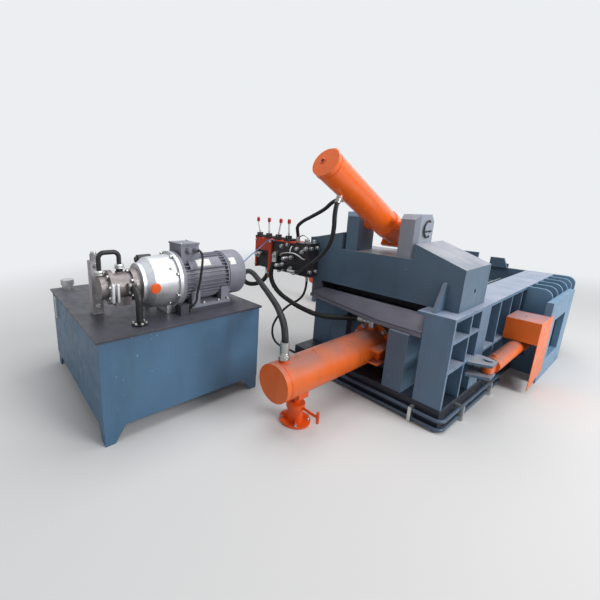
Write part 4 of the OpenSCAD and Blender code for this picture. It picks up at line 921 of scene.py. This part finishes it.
class BALER_OT_sheets(bpy.types.Operator):
    """Fold the guard sheet over the outlet frame and lay the deck's sloping apron"""
    bl_idname = "baler.sheets"
    bl_label = "Guard sheets"

    def folded(self, name, corners):
        """One leaf of the guard."""
        piece = sheet_metal(name, corners, [tuple(range(len(corners)))], GUARD_SHEET)
        bevel(piece, GUARD_SHEET * 0.25, 1)
        return piece

    def execute(self, context):
        left, right, front, back = 0.534, 0.7215, 0.928, 1.250
        low, brim, top, step = 0.022, 0.356, 0.5075, 1.176
        side = self.folded("guard_side", [(right, front, low), (right, back, 0.075), (right, back, 0.508),
                                          (right, front, 0.508)])
        roof = self.folded("guard_top", [(left, front, top), (right, front, top), (right, back, top),
                                         (0.684, back, top), (0.684, step, top), (left, step, top)])
        face = self.folded("guard_front", [(left, front, brim), (right, front, brim), (right, front, top),
                                           (left, front, top)])
        guard = join([side, roof, face], "outlet_guard")
        dress(guard, "hood_dusty", "frame")
        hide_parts("gate_hood")
        self.apron()
        return {"FINISHED"}

    def apron(self):
        """The plate that slopes from the deck's front edge up to a slit under the beam."""
        corners = [point for pair in APRON for point in pair]
        faces = [(2 * k, 2 * k + 2, 2 * k + 3, 2 * k + 1) for k in range(len(APRON) - 1)]
        piece = sheet_metal("deck_apron", corners, faces, APRON_PLATE)
        bevel(piece, 0.001, 2, 60)
        # The apron takes the deck's lightened grey, painted light as on the deck.
        dress(piece, "deck_grey", "frame")


class BALER_OT_stage(bpy.types.Operator):
    """Put a pale floor and soft lights round the machine"""
    bl_idname = "baler.stage"
    bl_label = "Stage"

    def floor(self, tone):
        """A matt floor that fades into the backdrop with distance, for the camera's eye alone."""
        deselect()
        bpy.ops.mesh.primitive_plane_add(size=60.0, location=(0, 0, -0.001))
        floor = settle(bpy.context.object, "studio_floor")
        mat = bpy.data.materials.new("Studio floor")
        mat.use_nodes = True
        tree = mat.node_tree
        bsdf = tree.nodes["Principled BSDF"]
        bsdf.inputs["Base Color"].default_value = tuple(tone) + (1.0,)
        bsdf.inputs["Roughness"].default_value = 0.8
        bsdf.inputs["Specular IOR Level"].default_value = 0.2
        far = tree.nodes.new("ShaderNodeEmission")
        far.inputs["Color"].default_value = BACKDROP
        coord = tree.nodes.new("ShaderNodeTexCoord")
        length = tree.nodes.new("ShaderNodeVectorMath")
        length.operation = "LENGTH"
        tree.links.new(coord.outputs["Object"], length.inputs[0])
        fade = tree.nodes.new("ShaderNodeMapRange")
        fade.interpolation_type = "SMOOTHSTEP"
        fade.inputs["From Min"].default_value = 2.2
        fade.inputs["From Max"].default_value = 6.5
        tree.links.new(length.outputs["Value"], fade.inputs["Value"])
        path = tree.nodes.new("ShaderNodeLightPath")
        seen = tree.nodes.new("ShaderNodeMath")
        seen.operation = "MULTIPLY"
        tree.links.new(fade.outputs["Result"], seen.inputs[0])
        tree.links.new(path.outputs["Is Camera Ray"], seen.inputs[1])
        blend = tree.nodes.new("ShaderNodeMixShader")
        tree.links.new(seen.outputs[0], blend.inputs["Fac"])
        tree.links.new(bsdf.outputs[0], blend.inputs[1])
        tree.links.new(far.outputs[0], blend.inputs[2])
        tree.links.new(blend.outputs[0], tree.nodes["Material Output"].inputs["Surface"])
        floor.data.materials.append(mat)

    def lamps(self, power):
        for name, where, size, share, turn in (("Key", (6.0, 1.0, 4.0), 3.5, 1.0, (0, 58, 8)),
                                               ("Top", (-0.5, -0.3, 5.5), 5.0, 0.55, (0, 0, 0)),
                                               ("Fill", (-1.5, -6.5, 2.6), 4.0, 0.05, (68, 0, -10))):
            lamp = bpy.data.lights.new(name, "AREA")
            lamp.size = size
            lamp.energy = power * share
            obj = placed(name, lamp)
            obj.location = where
            obj.rotation_euler = tuple(math.radians(a) for a in turn)

    def sky(self, scene):
        """An even sky, bright to the camera and in reflections and dimmer as a light."""
        world = bpy.data.worlds.new("Studio")
        scene.world = world
        world.use_nodes = True
        tree = world.node_tree
        back = tree.nodes["Background"]
        path = tree.nodes.new("ShaderNodeLightPath")
        either = tree.nodes.new("ShaderNodeMath")
        either.operation = "MAXIMUM"
        strength = tree.nodes.new("ShaderNodeMapRange")
        strength.inputs["To Min"].default_value = 0.38
        strength.inputs["To Max"].default_value = 1.0
        tree.links.new(path.outputs["Is Camera Ray"], either.inputs[0])
        tree.links.new(path.outputs["Is Glossy Ray"], either.inputs[1])
        tree.links.new(either.outputs[0], strength.inputs["Value"])
        tree.links.new(strength.outputs["Result"], back.inputs["Strength"])
        back.inputs["Color"].default_value = BACKDROP

    def execute(self, context):
        look = context.scene.baler_look
        self.floor(look.floor_tone)
        self.lamps(look.key_power)
        self.sky(context.scene)
        context.scene.view_settings.view_transform = "Standard"
        return {"FINISHED"}


class BALER_PT_panel(bpy.types.Panel):
    bl_idname = "BALER_PT_panel"
    bl_label = "Baler"
    bl_space_type = "VIEW_3D"
    bl_region_type = "UI"
    bl_category = "Baler"

    def draw(self, context):
        for step in STEPS:
            self.layout.operator(step)
        for group in (context.scene.baler_sizes, context.scene.baler_look):
            for name in group.__annotations__:
                self.layout.prop(group, name)


STEPS = ("baler.camera", "baler.hoses", "baler.hose_ends", "baler.finishes", "baler.bolts", "baler.levers",
         "baler.valve_fittings", "baler.keeper", "baler.plates", "baler.cylinder_details", "baler.power_unit",
         "baler.sheets", "baler.stage")
CLASSES = (BalerSizes, BalerLook, BALER_OT_camera, BALER_OT_hoses, BALER_OT_hose_ends,
           BALER_OT_finishes, BALER_OT_bolts, BALER_OT_levers,
           BALER_OT_valve_fittings, BALER_OT_keeper, BALER_OT_plates, BALER_OT_cylinder_details,
           BALER_OT_power_unit, BALER_OT_sheets, BALER_OT_stage, BALER_PT_panel)


def register():
    for cls in CLASSES:
        bpy.utils.register_class(cls)
    bpy.types.Scene.baler_sizes = bpy.props.PointerProperty(type=BalerSizes)
    bpy.types.Scene.baler_look = bpy.props.PointerProperty(type=BalerLook)


def unregister():
    del bpy.types.Scene.baler_look
    del bpy.types.Scene.baler_sizes
    for cls in reversed(CLASSES):
        bpy.utils.unregister_class(cls)


def main():
    register()
    FINISH.update(make_finishes())
    bpy.ops.baler.camera()
    bpy.ops.baler.hoses()
    bpy.ops.baler.hose_ends()
    bpy.ops.baler.finishes()
    bpy.ops.baler.bolts()
    bpy.ops.baler.levers()
    bpy.ops.baler.valve_fittings()
    bpy.ops.baler.keeper()
    bpy.ops.baler.plates()
    bpy.ops.baler.cylinder_details()
    bpy.ops.baler.power_unit()
    bpy.ops.baler.sheets()
    bpy.ops.baler.stage()


if __name__ == "__main__":
    main()
